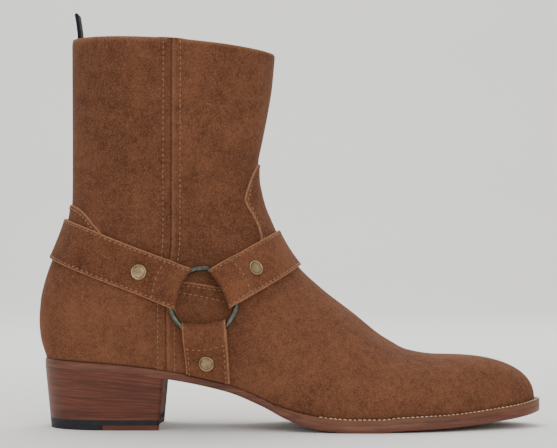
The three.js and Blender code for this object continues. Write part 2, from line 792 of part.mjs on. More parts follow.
// Height of a strap's outer face over the skin at a point: plain leather on the lapped upper,
// rising to the loop that holds the ring's wire.
const strapRise = gap + lapStep + strapThickness;
function strapHeight(u, v, ends) {
  const p = skinPoint(u, v);
  let height = strapRise;
  ends.forEach((ring) => {
    const flat = p.clone().sub(ring.centre);
    const level = flat.dot(ring.axis);
    const radius = Math.sqrt(Math.max(0, flat.lengthSq() - level * level));
    const blend = 1 - smooth((radius - ringRadius - 2) / 14);
    if (Math.abs(level) > ringDiameter) return;
    const loop = -level + ringWire / 2 + gap + strapThickness;
    height = Math.max(height, lerp(strapRise, loop, blend));
  });
  return height;
}

// Each strap runs along an axis in the side view from the ring; its two edges are parallel to it.
const axes = {
  back: { near: place(0.2831, 0.632), far: place(0.0179, 0.8605), fold: backFold, turnAt: 0 },
  front: { near: place(0.355, 0.6294), far: place(0.4964, 0.8134), fold: frontFold, turnAt: 0.5 },
  lower: { near: place(0.3265, 0.45), far: place(0.333, 0.24), fold: lowerFold, turnAt: 0 },
};
const lanes = [0, 0.3, 0.7, 1];

function halfStrap(axis, ring, stations) {
  const near = new THREE.Vector2(...axis.near);
  const aim = new THREE.Vector2(...axis.far).sub(near).normalize();
  const normal = new THREE.Vector2(-aim.y, aim.x);
  const start = ringCentre.clone().sub(near).dot(aim) + axis.fold;
  return lanes.map((lane) => {
    const offset = (lane - 0.5) * strapWidth;
    const bow = 1.6 * (1 - (2 * lane - 1) ** 2) - 0.8;
    const end = near
      .clone()
      .addScaledVector(aim, start + bow)
      .addScaledVector(normal, offset);
    const first = locate(end.x, end.y, ring.side);
    const path = follow(first, near, aim, offset, ring.side, axis.turnAt);
    const length = path[path.length - 1][2];
    return stations.map((share) => {
      const goal = share * length;
      let k = 0;
      while (k < path.length - 2 && path[k + 1][2] < goal) k += 1;
      const t = clamp01((goal - path[k][2]) / Math.max(1e-6, path[k + 1][2] - path[k][2]));
      const u = lerp(path[k][0], path[k + 1][0], t);
      const v = lerp(path[k][1], path[k + 1][1], t);
      return [u, ring.side < 0 ? v : 1 - v];
    });
  });
}

// The rounded nose of a fold, from the edge inwards.
const nose = (share, noseShare) => Math.sqrt(1 - (1 - clamp01(share / noseShare)) ** 2);

function strapSolid(tracks, ends, noses) {
  const lower = [];
  const upperFace = [];
  tracks[0].forEach((_, k) => {
    const low = [];
    const high = [];
    tracks.forEach((track) => {
      const [u, v] = track[k];
      const height = strapHeight(u, v, ends) * lerp(0.55, 1, noses[k]);
      low.push(over(u, v, -0.6));
      high.push(over(u, v, height));
    });
    lower.push(low);
    upperFace.push(high);
  });
  return bodyBetween(lower, upperFace);
}

const wrap = [0, 0.02, 0.06, 0.12, 0.2, 0.3, 0.42, 0.55, 0.68, 0.8, 0.91, 1];
const wrapNose = wrap.map((share) => nose(share, 0.06));
function wholeStrap(axis) {
  const outerTracks = halfStrap(axis, rings[0], wrap);
  const innerTracks = halfStrap(axis, rings[1], wrap);
  const tracks = outerTracks.map((track, i) => [
    ...track,
    ...innerTracks[i].slice(0, -1).reverse(),
  ]);
  const noses = [...wrapNose, ...wrapNose.slice(0, -1).reverse()];
  return strapSolid(tracks, rings, noses);
}

// The short strap runs from the ring down to the sole's edge and under it.
const drop = [0, 0.04, 0.12, 0.24, 0.4, 0.6, 0.8, 1];
function lowerStrap(ring) {
  const tracks = halfStrap(axes.lower, ring, drop);
  const solid = strapSolid(
    tracks,
    [ring],
    drop.map((share) => nose(share, 0.12)),
  );
  return solid;
}

// A place on a strap's outer face, with its normal, at a distance from the ring's centre.
function strapSeat(axis, ring, distance) {
  const near = new THREE.Vector2(...axis.near);
  const aim = new THREE.Vector2(...axis.far).sub(near).normalize();
  const start = ringCentre.clone().sub(near).dot(aim) + distance;
  const spot = near.clone().addScaledVector(aim, start);
  const [u, v] = locate(spot.x, spot.y, ring.side);
  const w = ring.side < 0 ? v : 1 - v;
  const face = (row, column) => over(row, column, strapHeight(row, column, [ring]));
  const alongRows = face(u + 0.25, w).sub(face(u - 0.25, w));
  const alongColumns = face(u, w + 0.015).sub(face(u, w - 0.015));
  const normal = alongColumns.cross(alongRows).normalize();
  const turn = new THREE.Quaternion().setFromUnitVectors(new THREE.Vector3(0, 0, 1), normal);
  return { centre: face(u, w), turn };
}

// Rivets: their seats are sunk into the strap by a little under its thickness.
const rivetSink = 0.6;
const rivetPlaces = { back: 41.6, front: 34.2, lower: 35.6 };
const rivetSeats = {};
Object.entries(rivetPlaces).forEach(([name, distance]) => {
  rings.forEach((ring) => {
    const side = ring.side < 0 ? "outer" : "inner";
    rivetSeats[name + "_" + side] = strapSeat(axes[name], ring, distance);
  });
});
function seatCutter(seat) {
  const radius = rivetDiameter / 2 + gap;
  const tall = 4 * rivetHeight;
  const geometry = new THREE.CylinderGeometry(radius, radius, tall, 16);
  geometry.rotateX(Math.PI / 2);
  geometry.translate(0, 0, tall / 2 - rivetSink);
  return solidFrom(placed(geometry, seat));
}
const rivetGeometry = () => {
  const radius = rivetDiameter / 2;
  const foot = gap - rivetSink;
  const profile = [
    [0, foot],
    [radius, foot],
    [radius, rivetHeight * 0.5],
    [radius * 0.86, rivetHeight * 0.8],
    [radius * 0.5, rivetHeight * 0.92],
    [0, rivetHeight],
  ].map(([r, z]) => new THREE.Vector2(r, z));
  const geometry = new THREE.LatheGeometry(profile, 12);
  geometry.rotateX(Math.PI / 2);
  return geometry;
};

const ringClearance = rings.map((ring) =>
  solidFrom(placed(ringGeometry(ringWire + 2 * gap), ring)),
);
function fitted(solid, names) {
  let cut = solid.subtract(clearOfUpper).subtract(belowSeat);
  ringClearance.forEach((torus) => {
    cut = cut.subtract(torus);
  });
  names.forEach((name) => {
    cut = cut.subtract(seatCutter(rivetSeats[name]));
  });
  return cut;
}

const strapBack = fitted(wholeStrap(axes.back), ["back_outer", "back_inner"]);
const strapFront = fitted(wholeStrap(axes.front), ["front_outer", "front_inner"]);
const strapLowerOuter = fitted(lowerStrap(rings[0]), ["lower_outer"]);
const strapLowerInner = fitted(lowerStrap(rings[1]), ["lower_inner"]);

// How far ahead the wall's inner face lies at the back of row u, at a distance y from the middle.
function insideBack(u, y) {
  let near = 0;
  let far = y < 0 ? 0.2 : -0.2;
  for (let k = 0; k < 30; k += 1) {
    const v = (near + far) / 2;
    if (Math.abs(over(u, v, -upperWall).y) < Math.abs(y)) near = v;
    else far = v;
  }
  return over(u, near, -upperWall).x;
}

// The pull loop: a tape folded on itself, held inside the back of the collar.
function pullLoop() {
  const anchor = over(collarRow, 0, -upperWall - gap);
  [-1, 0, 1].forEach((side) => {
    [collarRow, collarRow - 0.3, collarRow - 0.6].forEach((u) => {
      const edge = insideBack(u, side * (tapeWidth / 2 + gap));
      anchor.x = Math.max(anchor.x, edge + gap);
    });
  });
  const half = tapeThickness + gap / 2;
  const centre = new THREE.CatmullRomCurve3([
    new THREE.Vector3(anchor.x + half, 0, anchor.z - loopDepth),
    new THREE.Vector3(anchor.x + half, 0, anchor.z - loopDepth / 2),
    new THREE.Vector3(anchor.x + half, 0, anchor.z),
    new THREE.Vector3(anchor.x + half - loopLean * 0.45, 0, anchor.z + loopRise * 0.55),
    new THREE.Vector3(anchor.x + half - loopLean, 0, anchor.z + loopRise - half),
  ]);
  const steps = 8;
  const side = (distance, until) =>
    Array.from({ length: steps + 1 }, (_, k) => {
      const t = (k / steps) * until;
      const p = centre.getPointAt(t);
      const aim = centre.getTangentAt(t);
      return [p.x + aim.z * distance, p.z - aim.x * distance];
    });
  const top = centre.getPointAt(1);
  const aim = centre.getTangentAt(1);
  const cap = [0.25, 0.5, 0.75].map((share) => {
    const angle = share * Math.PI;
    const out = Math.cos(angle) * half;
    const up = Math.sin(angle) * half;
    return [top.x + aim.z * out + aim.x * up, top.z - aim.x * out + aim.z * up];
  });
  const outline = [
    ...side(half, 1),
    ...cap,
    ...side(-half, 1).reverse(),
    ...side(-gap / 2, 0.97),
    ...side(gap / 2, 0.97).reverse(),
  ];
  const shape = new THREE.Shape(outline.map(([x, z]) => new THREE.Vector2(x, z)));
  const geometry = new THREE.ExtrudeGeometry(shape, {
    depth: tapeWidth,
    bevelEnabled: false,
    curveSegments: 1,
  });
  geometry.rotateX(Math.PI / 2);
  geometry.translate(0, tapeWidth / 2, 0);
  return solidFrom(geometry);
}

// The scene graph.
const leather = (color, roughness) =>
  new THREE.MeshStandardMaterial({ color, roughness, metalness: 0 });
const metal = (color, roughness) =>
  new THREE.MeshStandardMaterial({ color, roughness, metalness: 1 });
const materials = {
  suede: leather("#764a30", 0.95),
  strap: leather("#7c4f34", 0.9),
  board: leather("#a87a52", 0.8),
  sole: leather("#6d3c26", 0.45),
  rubber: leather("#23262b", 0.7),
  tape: leather("#33343a", 0.9),
  ring: metal("#6f746c", 0.35),
  rivet: metal("#a8916a", 0.4),
};

function geometryOf(solid) {
  const mesh = solid.getMesh();
  const geometry = new THREE.BufferGeometry();
  const position = new Float32Array(mesh.numVert * 3);
  for (let i = 0; i < mesh.numVert; i += 1) {
    const start = i * mesh.numProp;
    position.set(mesh.vertProperties.subarray(start, start + 3), i * 3);
  }
  geometry.setAttribute("position", new THREE.BufferAttribute(position, 3));
  geometry.setIndex(new THREE.BufferAttribute(mesh.triVerts, 1));
  return geometry;
}

function piece(group, name, shape, material) {
  const geometry = shape.isBufferGeometry ? shape : geometryOf(shape);
  const mesh = new THREE.Mesh(geometry, material);
  mesh.name = name;
  group.add(mesh);
  return mesh;
}

const boot = new THREE.Group();
const uppers = new THREE.Group();
const bottom = new THREE.Group();
const harness = new THREE.Group();
boot.add(uppers, bottom, harness);

piece(uppers, "upper", upper, materials.suede);
piece(uppers, "pull_loop", pullLoop(), materials.tape);
piece(bottom, "insole", insole, materials.board);
piece(bottom, "welt", welt, materials.board);
piece(bottom, "outsole", outsole, materials.sole);
lifts.forEach((solid, k) => {
  piece(bottom, "heel_lift_" + (k + 1), solid, materials.sole);
});
piece(bottom, "heel_rubber_layer", rubberLayer, materials.rubber);
piece(bottom, "top_piece_rubber", topPieceRubber, materials.rubber);
piece(bottom, "top_piece_leather", topPieceLeather, materials.sole);

piece(harness, "strap_back", strapBack, materials.strap);
piece(harness, "strap_front", strapFront, materials.strap);
piece(harness, "strap_lower_outer", strapLowerOuter, materials.strap);
piece(harness, "strap_lower_inner", strapLowerInner, materials.strap);
rings.forEach((frame) => {
  const name = frame.side < 0 ? "ring_outer" : "ring_inner";
  const ring = piece(harness, name, ringGeometry(ringWire), materials.ring);
  ring.position.copy(frame.centre);
  ring.quaternion.copy(frame.turn);
});
Object.entries(rivetSeats).forEach(([name, seat]) => {
  const rivet = piece(harness, "rivet_" + name, rivetGeometry(), materials.rivet);
  rivet.position.copy(seat.centre);
  rivet.quaternion.copy(seat.turn);
});

export default boot;
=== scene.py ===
import functools
import math

import bmesh
import bpy
import numpy as np
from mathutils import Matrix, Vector
from mathutils.kdtree import KDTree


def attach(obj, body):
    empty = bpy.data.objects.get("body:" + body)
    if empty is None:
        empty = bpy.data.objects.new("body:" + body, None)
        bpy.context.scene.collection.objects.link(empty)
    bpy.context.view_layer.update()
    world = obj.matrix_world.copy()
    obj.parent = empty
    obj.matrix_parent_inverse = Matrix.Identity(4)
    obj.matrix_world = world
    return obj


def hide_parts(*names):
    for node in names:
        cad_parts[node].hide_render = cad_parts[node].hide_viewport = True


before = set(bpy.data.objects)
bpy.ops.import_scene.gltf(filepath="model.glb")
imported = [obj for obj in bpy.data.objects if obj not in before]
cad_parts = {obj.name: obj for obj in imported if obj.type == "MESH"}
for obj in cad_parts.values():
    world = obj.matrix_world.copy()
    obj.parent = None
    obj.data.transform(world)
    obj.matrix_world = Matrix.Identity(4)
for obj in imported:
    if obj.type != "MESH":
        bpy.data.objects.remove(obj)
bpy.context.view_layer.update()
mm = 0.001

# The upper: rust-brown suede, cut as vamp, counter and shaft quarters and lasted over the foot form.
# Each section of the last stands on the feather line and leans from the toe round to the collar.
# The vamp with its tongue and the counter are lapped on the shaft, and a turned seam runs down each side.
last_length = 290 * mm
seat_back = -18 * mm
ball_width = 92 * mm
instep_height = 112 * mm
counter_height = 0.875 * instep_height
shaft_rise = 92 * mm
collar_width = 84 * mm
collar_arch = 2.7 * mm
upper_wall = 2.3 * mm
lap_step = 1.2 * mm
seam_step = 0.5 * mm
seam_width = 13 * mm
seam_sink = 0.75 * mm
seam_sink_reach = 1.2 * mm
band_ease = 2.2 * mm
lap_start = 0.5 * mm
lap_ease = 1.7 * mm
collar_seam_rise = 0.45 * mm
heel_rise = 36.5 * mm
toe_spring = 9 * mm
outsole_thickness = 4.6 * mm
welt_thickness = 2.7 * mm
clearance = 0.3 * mm


def curve_through(xs, ys):
    xs, ys = np.array(xs, float), np.array(ys, float)
    steep = np.diff(ys) / np.diff(xs)
    before, after = steep[:-1], steep[1:]
    level = before * after <= 0
    both = np.where(level, 1.0, before + after)
    slopes = np.concatenate(([steep[0]], np.where(level, 0.0, 2 * before * after / both), [steep[-1]]))

    def at(x):
        i = np.clip(np.searchsorted(xs, x, side="left") - 1, 0, len(xs) - 2)
        h = xs[i + 1] - xs[i]
        t = np.clip((x - xs[i]) / h, 0, 1)
        s = 1 - t
        ends = s * s * (1 + 2 * t) * ys[i] + t * t * (1 + 2 * s) * ys[i + 1]
        return ends + t * s * h * (s * slopes[i] - t * slopes[i + 1])

    return at


def curves_of(names, rows, keyed=True):
    xs = [row[0] if keyed else i for i, row in enumerate(rows)]
    return {name: curve_through(xs, [row[k] for row in rows]) for k, name in enumerate(names)}


def smooth(t):
    t = np.clip(t, 0, 1)
    return t * t * (3 - 2 * t)


def unit(vectors):
    return vectors / np.maximum(1e-12, np.linalg.norm(vectors, axis=-1, keepdims=True))


def run_of(points):
    """How far each of some points lies along the line that joins them."""
    return np.concatenate(([0], np.cumsum(np.linalg.norm(np.diff(points, axis=0), axis=1))))


def on_side(v, side):
    """A column counted from the back or lower edge of the outer side (-1) or the inner one (1)."""
    return v if side < 0 else 1 - v


# Side line of the sole, as shares of heel rise, toe spring and welt thickness.
line = curves_of(("along", "heel", "spring", "welt"), [
    (0.0, 1.0, 0.0, 0.0), (0.127, 0.94, 0.0, 0.0), (0.25, 0.82, 0.0, 0.0), (0.367, 0.627, 0.0, 0.0),
    (0.442, 0.395, 0.0, 0.0), (0.49, 0.2, 0.0, 0.45), (0.548, 0.052, 0.0, 1.0), (0.594, 0.01, 0.0, 1.0),
    (0.62, 0.0, 0.0, 1.0), (0.68, 0.0, 0.0, 1.0), (0.714, 0.0, 0.11, 1.0), (0.816, 0.0, 0.22, 1.0),
    (0.922, 0.0, 0.54, 1.0), (0.98, 0.0, 0.79, 1.0), (1.0, 0.0, 0.91, 1.0), (1.02, 0.0, 1.03, 1.0)])

# Plan of the feather line, as shares of half the ball width, and the sole's share of the welt's edge.
plan = curves_of(("along", "half", "shift", "edge"), [
    (0.0, 0.65, 0.0, 0.33), (0.17, 0.65, 0.0, 0.33), (0.3, 0.625, -0.025, 0.33), (0.38, 0.605, -0.075, 0.35),
    (0.46, 0.68, -0.12, 0.5), (0.54, 0.815, -0.115, 0.9), (0.62, 0.935, -0.065, 1.0), (0.68, 0.98, -0.02, 1.0),
    (0.72, 0.975, 0.005, 1.0), (0.78, 0.9, 0.03, 1.0), (0.86, 0.73, 0.06, 1.0), (0.93, 0.525, 0.085, 1.05),
    (1.0, 0.36, 0.1, 1.1)])

# How far the back line stands ahead of the seat, at a share of the counter and then of the shaft.
back_line = curves_of(("height", "ahead"), [
    (0.0, 0.0), (0.14, -0.0134), (0.23, -0.0155), (0.35, -0.0128), (0.45, -0.0055), (0.57, 0.0078),
    (0.67, 0.0231), (0.77, 0.0362), (0.87, 0.0452), (0.97, 0.048), (1.1, 0.0484), (2.0, 0.0476)])

# The sections, toe to collar: where each stands, how wide it is and how it rounds.
form_rows = [
    (1.0, 0.277, 0.0, -1.05, 1.02, 0.0, 0.25, 2.3, 2.6, 0.1, 0.0, 0.24),
    (0.93, 0.279, 0.0, -0.98, 1.02, 0.0, 0.25, 2.3, 2.6, 0.09, 0.0, 0.24),
    (0.86, 0.284, 0.0, -0.91, 1.02, 0.0, 0.25, 2.25, 2.6, 0.08, 0.0, 0.24),
    (0.8, 0.29, 0.0, -0.85, 1.02, 0.0, 0.25, 2.15, 2.6, 0.07, 0.0, 0.24),
    (0.74, 0.318, 0.0, -0.79, 1.03, 0.0, 0.24, 2.05, 2.6, 0.07, 0.0, 0.24),
    (0.68, 0.415, 0.0, -0.73, 1.04, 0.0, 0.23, 1.95, 2.6, 0.075, 0.0, 0.24),
    (0.62, 0.54, 0.0, -0.67, 1.04, 0.0, 0.23, 1.9, 2.6, 0.08, 0.0, 0.25),
    (0.56, 0.648, 0.0, -0.595, 1.05, 0.0, 0.25, 1.9, 2.6, 0.08, 0.0, 0.27),
    (0.514, 0.737, 0.0, -0.525, 1.13, 0.0, 0.3, 1.95, 2.6, 0.06, 0.0, 0.31),
    (0.48, 0.834, 0.0, -0.435, 0.63, 0.417, 0.38, 2.0, 2.6, 0.04, 0.0, 0.36),
    (0.4555, 0.942, 0.0, -0.32, 0.36, 0.57, 0.46, 2.05, 2.6, 0.02, 0.0, 0.41),
    (0.444, 1.0, 0.0, -0.2, 0.15, 0.7, 0.5, 2.1, 2.6, 0.01, 0.0, 0.45),
    (0.4355, 1.0, 0.091, -0.092, 0.0, 0.8, 0.5, 2.15, 2.6, 0.0, 0.0, 0.48),
    (0.4317, 1.0, 0.153, 0.0, 0.0, 0.79, 0.48, 2.15, 2.6, 0.0, 0.0, 0.5),
    (0.431, 1.0, 0.202, 0.142, 0.0, 0.79, 0.47, 2.15, 2.5, 0.0, 0.0, 0.5),
    (0.4317, 1.0, 0.251, 0.346, 0.0, 0.8, 0.47, 2.15, 2.45, 0.0, 0.0, 0.5),
    (0.4334, 1.0, 0.307, 0.57, 0.0, 0.815, 0.47, 2.15, 2.4, 0.0, 0.0, 0.5),
    (0.4375, 1.0, 0.375, 0.779, 0.0, 0.83, 0.5, 2.15, 2.3, 0.0, 0.0, 0.5),
    (0.4425, 1.0, 0.457, 1.0, 0.0, 0.855, 0.5, 2.15, 2.25, 0.0, 0.0, 0.5),
    (0.4522, 1.0, 0.629, 1.24, 0.0, 0.9, 0.5, 2.15, 2.2, 0.0, 0.0, 0.5),
    (0.4605, 1.0, 0.802, 1.56, 0.0, 0.95, 0.5, 2.15, 2.15, 0.0, 0.4, 0.5),
    (0.4668, 1.0, 1.025, 1.995, 0.0, 1.0, 0.5, 2.15, 2.15, 0.0, 1.0, 0.5)]
form = curves_of(("top", "rise", "up", "base", "swell", "shaft", "widest", "round", "back", "ridge", "arch", "low"),
                 form_rows, keyed=False)
crown_at = curve_through(range(22), [row[1] * instep_height + row[2] * shaft_rise for row in form_rows])
collar_row = 21
heel_row = 13
heel_round = 0.05
half_ball = ball_width / 2


def along_x(along):
    return seat_back + along * last_length


def along_at(x):
    return (x - seat_back) / last_length


def sole_z(along):
    return heel_rise * line["heel"](along) + toe_spring * line["spring"](along)


def outsole_top(along):
    return sole_z(along) + outsole_thickness


def seat_z(along):
    return outsole_top(along) + (clearance + welt_thickness) * line["welt"](along)


def round_off(t, p):
    return np.maximum(0, 1 - np.clip(t, 0, 1) ** p) ** (1 / p)


def foot_half(along):
    ends = round_off(1 - along / 0.14, 2.2) * round_off((along - 0.93) / 0.07, 2)
    return plan["half"](along) * half_ball * ends


def foot_shift(along):
    return plan["shift"](along) * half_ball


def skin(u, v):
    """Points of the last at row u; v goes from the outer feather line (or the back) over the top."""
    u, v = np.broadcast_arrays(np.asarray(u, float), np.asarray(v, float))
    f = {name: curve(u) for name, curve in form.items()}
    base = np.where(np.abs(u - heel_row) < 1e-9, 0.0, f["base"])
    crown = crown_at(u) * round_off((f["top"] - 0.8) / 0.2, 2.2)
    up = np.clip(base, 0, 1) * counter_height + np.maximum(0, base - 1) * shaft_rise
    way = np.maximum(0, -base)
    along = way - heel_round * (1 - np.exp(-way / heel_round))
    low = np.where(base < 0, foot_half(along), 0.0)
    half = np.maximum(low * 1.005, f["swell"] * foot_half(along) + f["shaft"] * collar_width / 2)
    share_low = np.minimum(1, low / np.maximum(half, 1e-9)) ** (f["back"] / 2)
    opening = np.arccos(share_low)
    reach = f["widest"] / np.maximum(1e-9, np.sin(opening)) ** (2 / f["back"])
    w = np.where(base >= 0, v - np.floor(v), np.clip(v, 0, 1))
    share = np.where(w < 0.5, 2 * w, 2 - 2 * w)
    lower = share < f["low"]
    a = np.clip(opening * (1 - share / f["low"]), 0, np.pi / 2)
    b = np.clip((share - f["low"]) / (1 - f["low"]) * np.pi / 2, 0, np.pi / 2)
    t = np.where(lower, f["widest"] - reach * np.sin(a) ** (2 / f["back"]),
                 f["widest"] + (1 - f["widest"]) * np.sin(b) ** (2 / f["round"]))
    wide = half * np.where(lower, np.cos(a) ** (2 / f["back"]), np.maximum(0, np.cos(b)) ** (2 / f["round"]))
    base_x = np.where(base < 0, along_x(along), seat_back + back_line["ahead"](base) * last_length)
    base_z = np.where(base < 0, seat_z(along), seat_z(0.0) + up)
    top_z = seat_z(f["top"]) + crown
    base_y = np.where(base < 0, foot_shift(along), 0.0)
    centre = base_y + (f["ridge"] * half_ball - base_y) * smooth(t)
    rim = f["arch"] * collar_arch * (wide / np.maximum(half, 1e-9)) ** 2
    x = base_x + (along_x(f["top"]) - base_x) * t
    z = base_z + (top_z - base_z) * t + rim
    return np.stack((x, centre + np.where(w < 0.5, -wide, wide), z), axis=-1)


def skin_normal(u, v, row_step=0.01, column_step=0.004):
    u, v = np.broadcast_arrays(np.asarray(u, float), np.asarray(v, float))
    open_row = u < heel_row
    v0 = np.where(open_row, np.maximum(0, v - column_step), v - column_step)
    v1 = np.where(open_row, np.minimum(1, v + column_step), v + column_step)
    along_u = skin(np.minimum(collar_row, u + row_step), v) - skin(np.maximum(0, u - row_step), v)
    n = unit(np.cross(skin(u, v1) - skin(u, v0), along_u))
    n[u < 0.02] = (1, 0, 0)
    return n


def over(u, v, height):
    """Points at a height over the last's skin."""
    return skin(u, v) + skin_normal(u, v) * np.asarray(height)[..., None]


# Places of the side view, as shares along the last and of the height of the instep's crest.
crest = float(seat_z(0.442)) + instep_height


def place(along, rise):
    return np.array((along_x(along), rise * crest))


def tree_of(spots):
    """A search tree over places of the side view."""
    tree = KDTree(len(spots))
    for i, (x, z) in enumerate(spots):
        tree.insert((x, z, 0), i)
    tree.balance()
    return tree


look_u, look_v = np.meshgrid(np.linspace(3, 21, 181), np.linspace(0.004, 0.496, 62), indexing="ij")
look = {side: tree_of(skin(look_u, on_side(look_v, side)).reshape(-1, 3)[:, (0, 2)]) for side in (-1, 1)}


def locate(x, z, side):
    """Row, column and miss of the skin at places of the side view; side is -1 outer, 1 inner."""
    x, z = np.atleast_1d(x).astype(float), np.atleast_1d(z).astype(float)
    near = [look[side].find((a, b, 0))[1] for a, b in zip(x, z)]
    u, v = look_u.ravel()[near], look_v.ravel()[near]

    def at(a, b):
        return skin(a, on_side(b, side))[:, (0, 2)]

    for _ in range(16):
        p = at(u, v)
        du, dv = (at(u + 1e-3, v) - p) / 1e-3, (at(u, v + 1e-4) - p) / 1e-4
        det = du[:, 0] * dv[:, 1] - dv[:, 0] * du[:, 1]
        det = np.where(np.abs(det) < 1e-12, 1e-12, det)
        ex, ez = x - p[:, 0], z - p[:, 1]
        u = np.clip(u + np.clip((ex * dv[:, 1] - ez * dv[:, 0]) / det, -0.4, 0.4), 2, 21)
        v = np.clip(v + np.clip((ez * du[:, 0] - ex * du[:, 1]) / det, -0.03, 0.03), 0.002, 0.498)
    p = at(u, v)
    return u, v, np.hypot(p[:, 0] - x, p[:, 1] - z)


def evened(points, step, extra=()):
    """A line of points resampled at even steps, with further columns carried along."""
    points = np.asarray(points, float)
    ways = run_of(points)
    at = np.linspace(0, ways[-1], max(2, int(round(ways[-1] / step)) + 1))
    parts = [np.interp(at, ways, column) for column in list(points.T) + list(extra)]
    return np.stack(parts[:points.shape[1]], axis=1), parts[points.shape[1]:]


# The lapped edge of vamp tongue and counter in the side view, front to back, softened a little.
lap_edge = [(0.455, 1.222), (0.439, 1.214), (0.4275, 1.187), (0.4175, 1.142), (0.4095, 1.084),
            (0.403, 1.037), (0.4105, 0.997), (0.4225, 0.956), (0.432, 0.909), (0.4385, 0.858),
            (0.428, 0.787), (0.401, 0.71), (0.361, 0.64), (0.289, 0.666), (0.2365, 0.668),
            (0.186, 0.719), (0.139, 0.799), (0.112, 0.896), (0.1, 0.922), (0.085, 0.963),
            (0.0685, 0.994), (0.0525, 1.011), (0.02, 1.015)]
lap_line = np.array([place(*p) for p in lap_edge])
lap_line = np.vstack((lap_line[0] + (0.06, 0), lap_line, lap_line[-1] - (0.06, 0)))
lap_line, _ = evened(lap_line, 0.5 * mm)
soften = np.exp(-0.5 * (np.arange(-6, 7) / 2.4) ** 2)
soften /= soften.sum()
for k in (0, 1):
    lap_line[6:-6, k] = np.convolve(lap_line[:, k], soften, mode="valid")
lap_tree = tree_of(lap_line)
lap_way = np.gradient(lap_line, axis=0)


def lap_depth(x, z):
    """How far a place of the side view lies inside the lapped leather."""
    out = np.empty(x.size)
    for i, (a, b) in enumerate(zip(x.ravel(), z.ravel())):
        _, k, far = lap_tree.find((a, b, 0))
        turn = lap_way[k, 0] * (b - lap_line[k, 1]) - lap_way[k, 1] * (a - lap_line[k, 0])
        out[i] = math.copysign(far, turn)
    return out.reshape(x.shape)


seam_line = np.array([place(*p) for p in ((0.2465, -0.2), (0.2465, 0.65), (0.256, 0.83), (0.2605, 2.2))])


def seam_offset(x, z):
    return x - np.interp(z, seam_line[:, 1], seam_line[:, 0])


# Soft folds: from, to (shares of the side view), width and depth; a ridge has depth below 0.
soft_folds = [
    ((0.405, 0.70), (0.30, 0.40), 9 * mm, 0.5 * mm),
    ((0.47, 0.62), (0.40, 0.36), 11 * mm, 0.45 * mm),
    ((0.12, 0.62), (0.20, 0.47), 10 * mm, 0.4 * mm),
    ((0.10, 1.20), (0.13, 1.72), 12 * mm, 0.5 * mm),
    ((0.36, 1.10), (0.33, 1.62), 13 * mm, 0.45 * mm),
    ((0.20, 1.05), (0.19, 1.70), 12 * mm, -0.35 * mm),
    ((0.60, 0.42), (0.585, 0.20), 7 * mm, 0.35 * mm),
    ((0.66, 0.36), (0.64, 0.18), 7 * mm, 0.3 * mm),
]


# Patches of painted light and shade on the suede, lighter where more light falls and darker where less does: middle
# (shares of the side view), reach, and how much.
painted_light_patches = [
    ((0.085, 0.49), 36 * mm, 0.34), ((0.13, 1.34), 42 * mm, -0.12), ((0.52, 0.5), 30 * mm, 0.1),
    ((0.83, 0.2), 40 * mm, -0.05), ((0.33, 1.2), 30 * mm, -0.04), ((0.2, 0.8), 22 * mm, -0.08),
    ((0.6, 0.2), 28 * mm, 0.12)]


# Painted light and shade: the sum of the patches at places of the side view.
def painted_light_and_shade(x, z):
    out = np.zeros_like(x)
    for spot, reach, amount in painted_light_patches:
        a, b = place(*spot)
        out += amount * np.exp(-((x - a) ** 2 + (z - b) ** 2) / reach ** 2)
    return out


def fold_depth(x, z):
    out = np.zeros_like(x)
    for start, end, width, depth in soft_folds:
        a, b = place(*start), place(*end)
        run = b - a
        t = np.clip(((x - a[0]) * run[0] + (z - a[1]) * run[1]) / (run @ run), 0, 1)
        far = np.hypot(x - a[0] - t * run[0], z - a[1] - t * run[1])
        out -= depth * np.exp(-(far / width) ** 2) * (0.45 + 0.55 * np.sin(np.pi * np.clip(t, 0.08, 0.92)))
    return out


def lap_rise(x, z):
    return lap_step * smooth((lap_depth(x, z) - lap_start) / lap_ease)


def seam_valley(x, z):
    return seam_sink * np.exp(-(seam_offset(x, z) / seam_sink_reach) ** 2)


def cover_height(p):
    """Height of the suede's face over the form: the lapped step, the seam and the soft folds."""
    x, z = p[..., 0], p[..., 2]
    band = seam_step * smooth((seam_width / 2 - np.abs(seam_offset(x, z))) / band_ease)
    return lap_rise(x, z) + band - seam_valley(x, z) + fold_depth(x, z)


def linked(name, data):
    piece = bpy.data.objects.new(name, data)
    bpy.context.scene.collection.objects.link(piece)
    return piece


def plain_mesh(name, points, faces, floats=None, closed=True, sharp=40):
    """A mesh object with smooth faces, sharp edges over an angle, and its named shares at the points."""
    mesh = bpy.data.meshes.new(name)
    mesh.from_pydata([tuple(map(float, p)) for p in points], [], [tuple(map(int, f)) for f in faces])
    for key, values in (floats or {}).items():
        mesh.attributes.new(key, "FLOAT", "POINT").data.foreach_set("value", np.asarray(values, np.float32))
    piece = linked(name, mesh)
    if closed:
        bm = bmesh.new()
        bm.from_mesh(mesh)
        bmesh.ops.remove_doubles(bm, verts=bm.verts, dist=2e-6)
        bmesh.ops.dissolve_degenerate(bm, edges=bm.edges, dist=1e-6)
        bmesh.ops.recalc_face_normals(bm, faces=bm.faces)
        bm.to_mesh(mesh)
        bm.free()
    mesh.shade_smooth()
    mesh.set_sharp_from_angle(angle=math.radians(sharp))
    return piece


def strip_faces(rows, columns, start=0, wrap=False, wrap_rows=False):
    """Quads of a grid of points, row by row; a wrapped grid closes on itself."""
    i, j = np.meshgrid(np.arange(rows - (not wrap_rows)), np.arange(columns - (not wrap)), indexing="ij")
    n, k = (i + 1) % rows, (j + 1) % columns
    quads = np.stack((i * columns + j, i * columns + k, n * columns + k, n * columns + j), axis=-1)
    return (quads.reshape(-1, 4) + start).tolist()


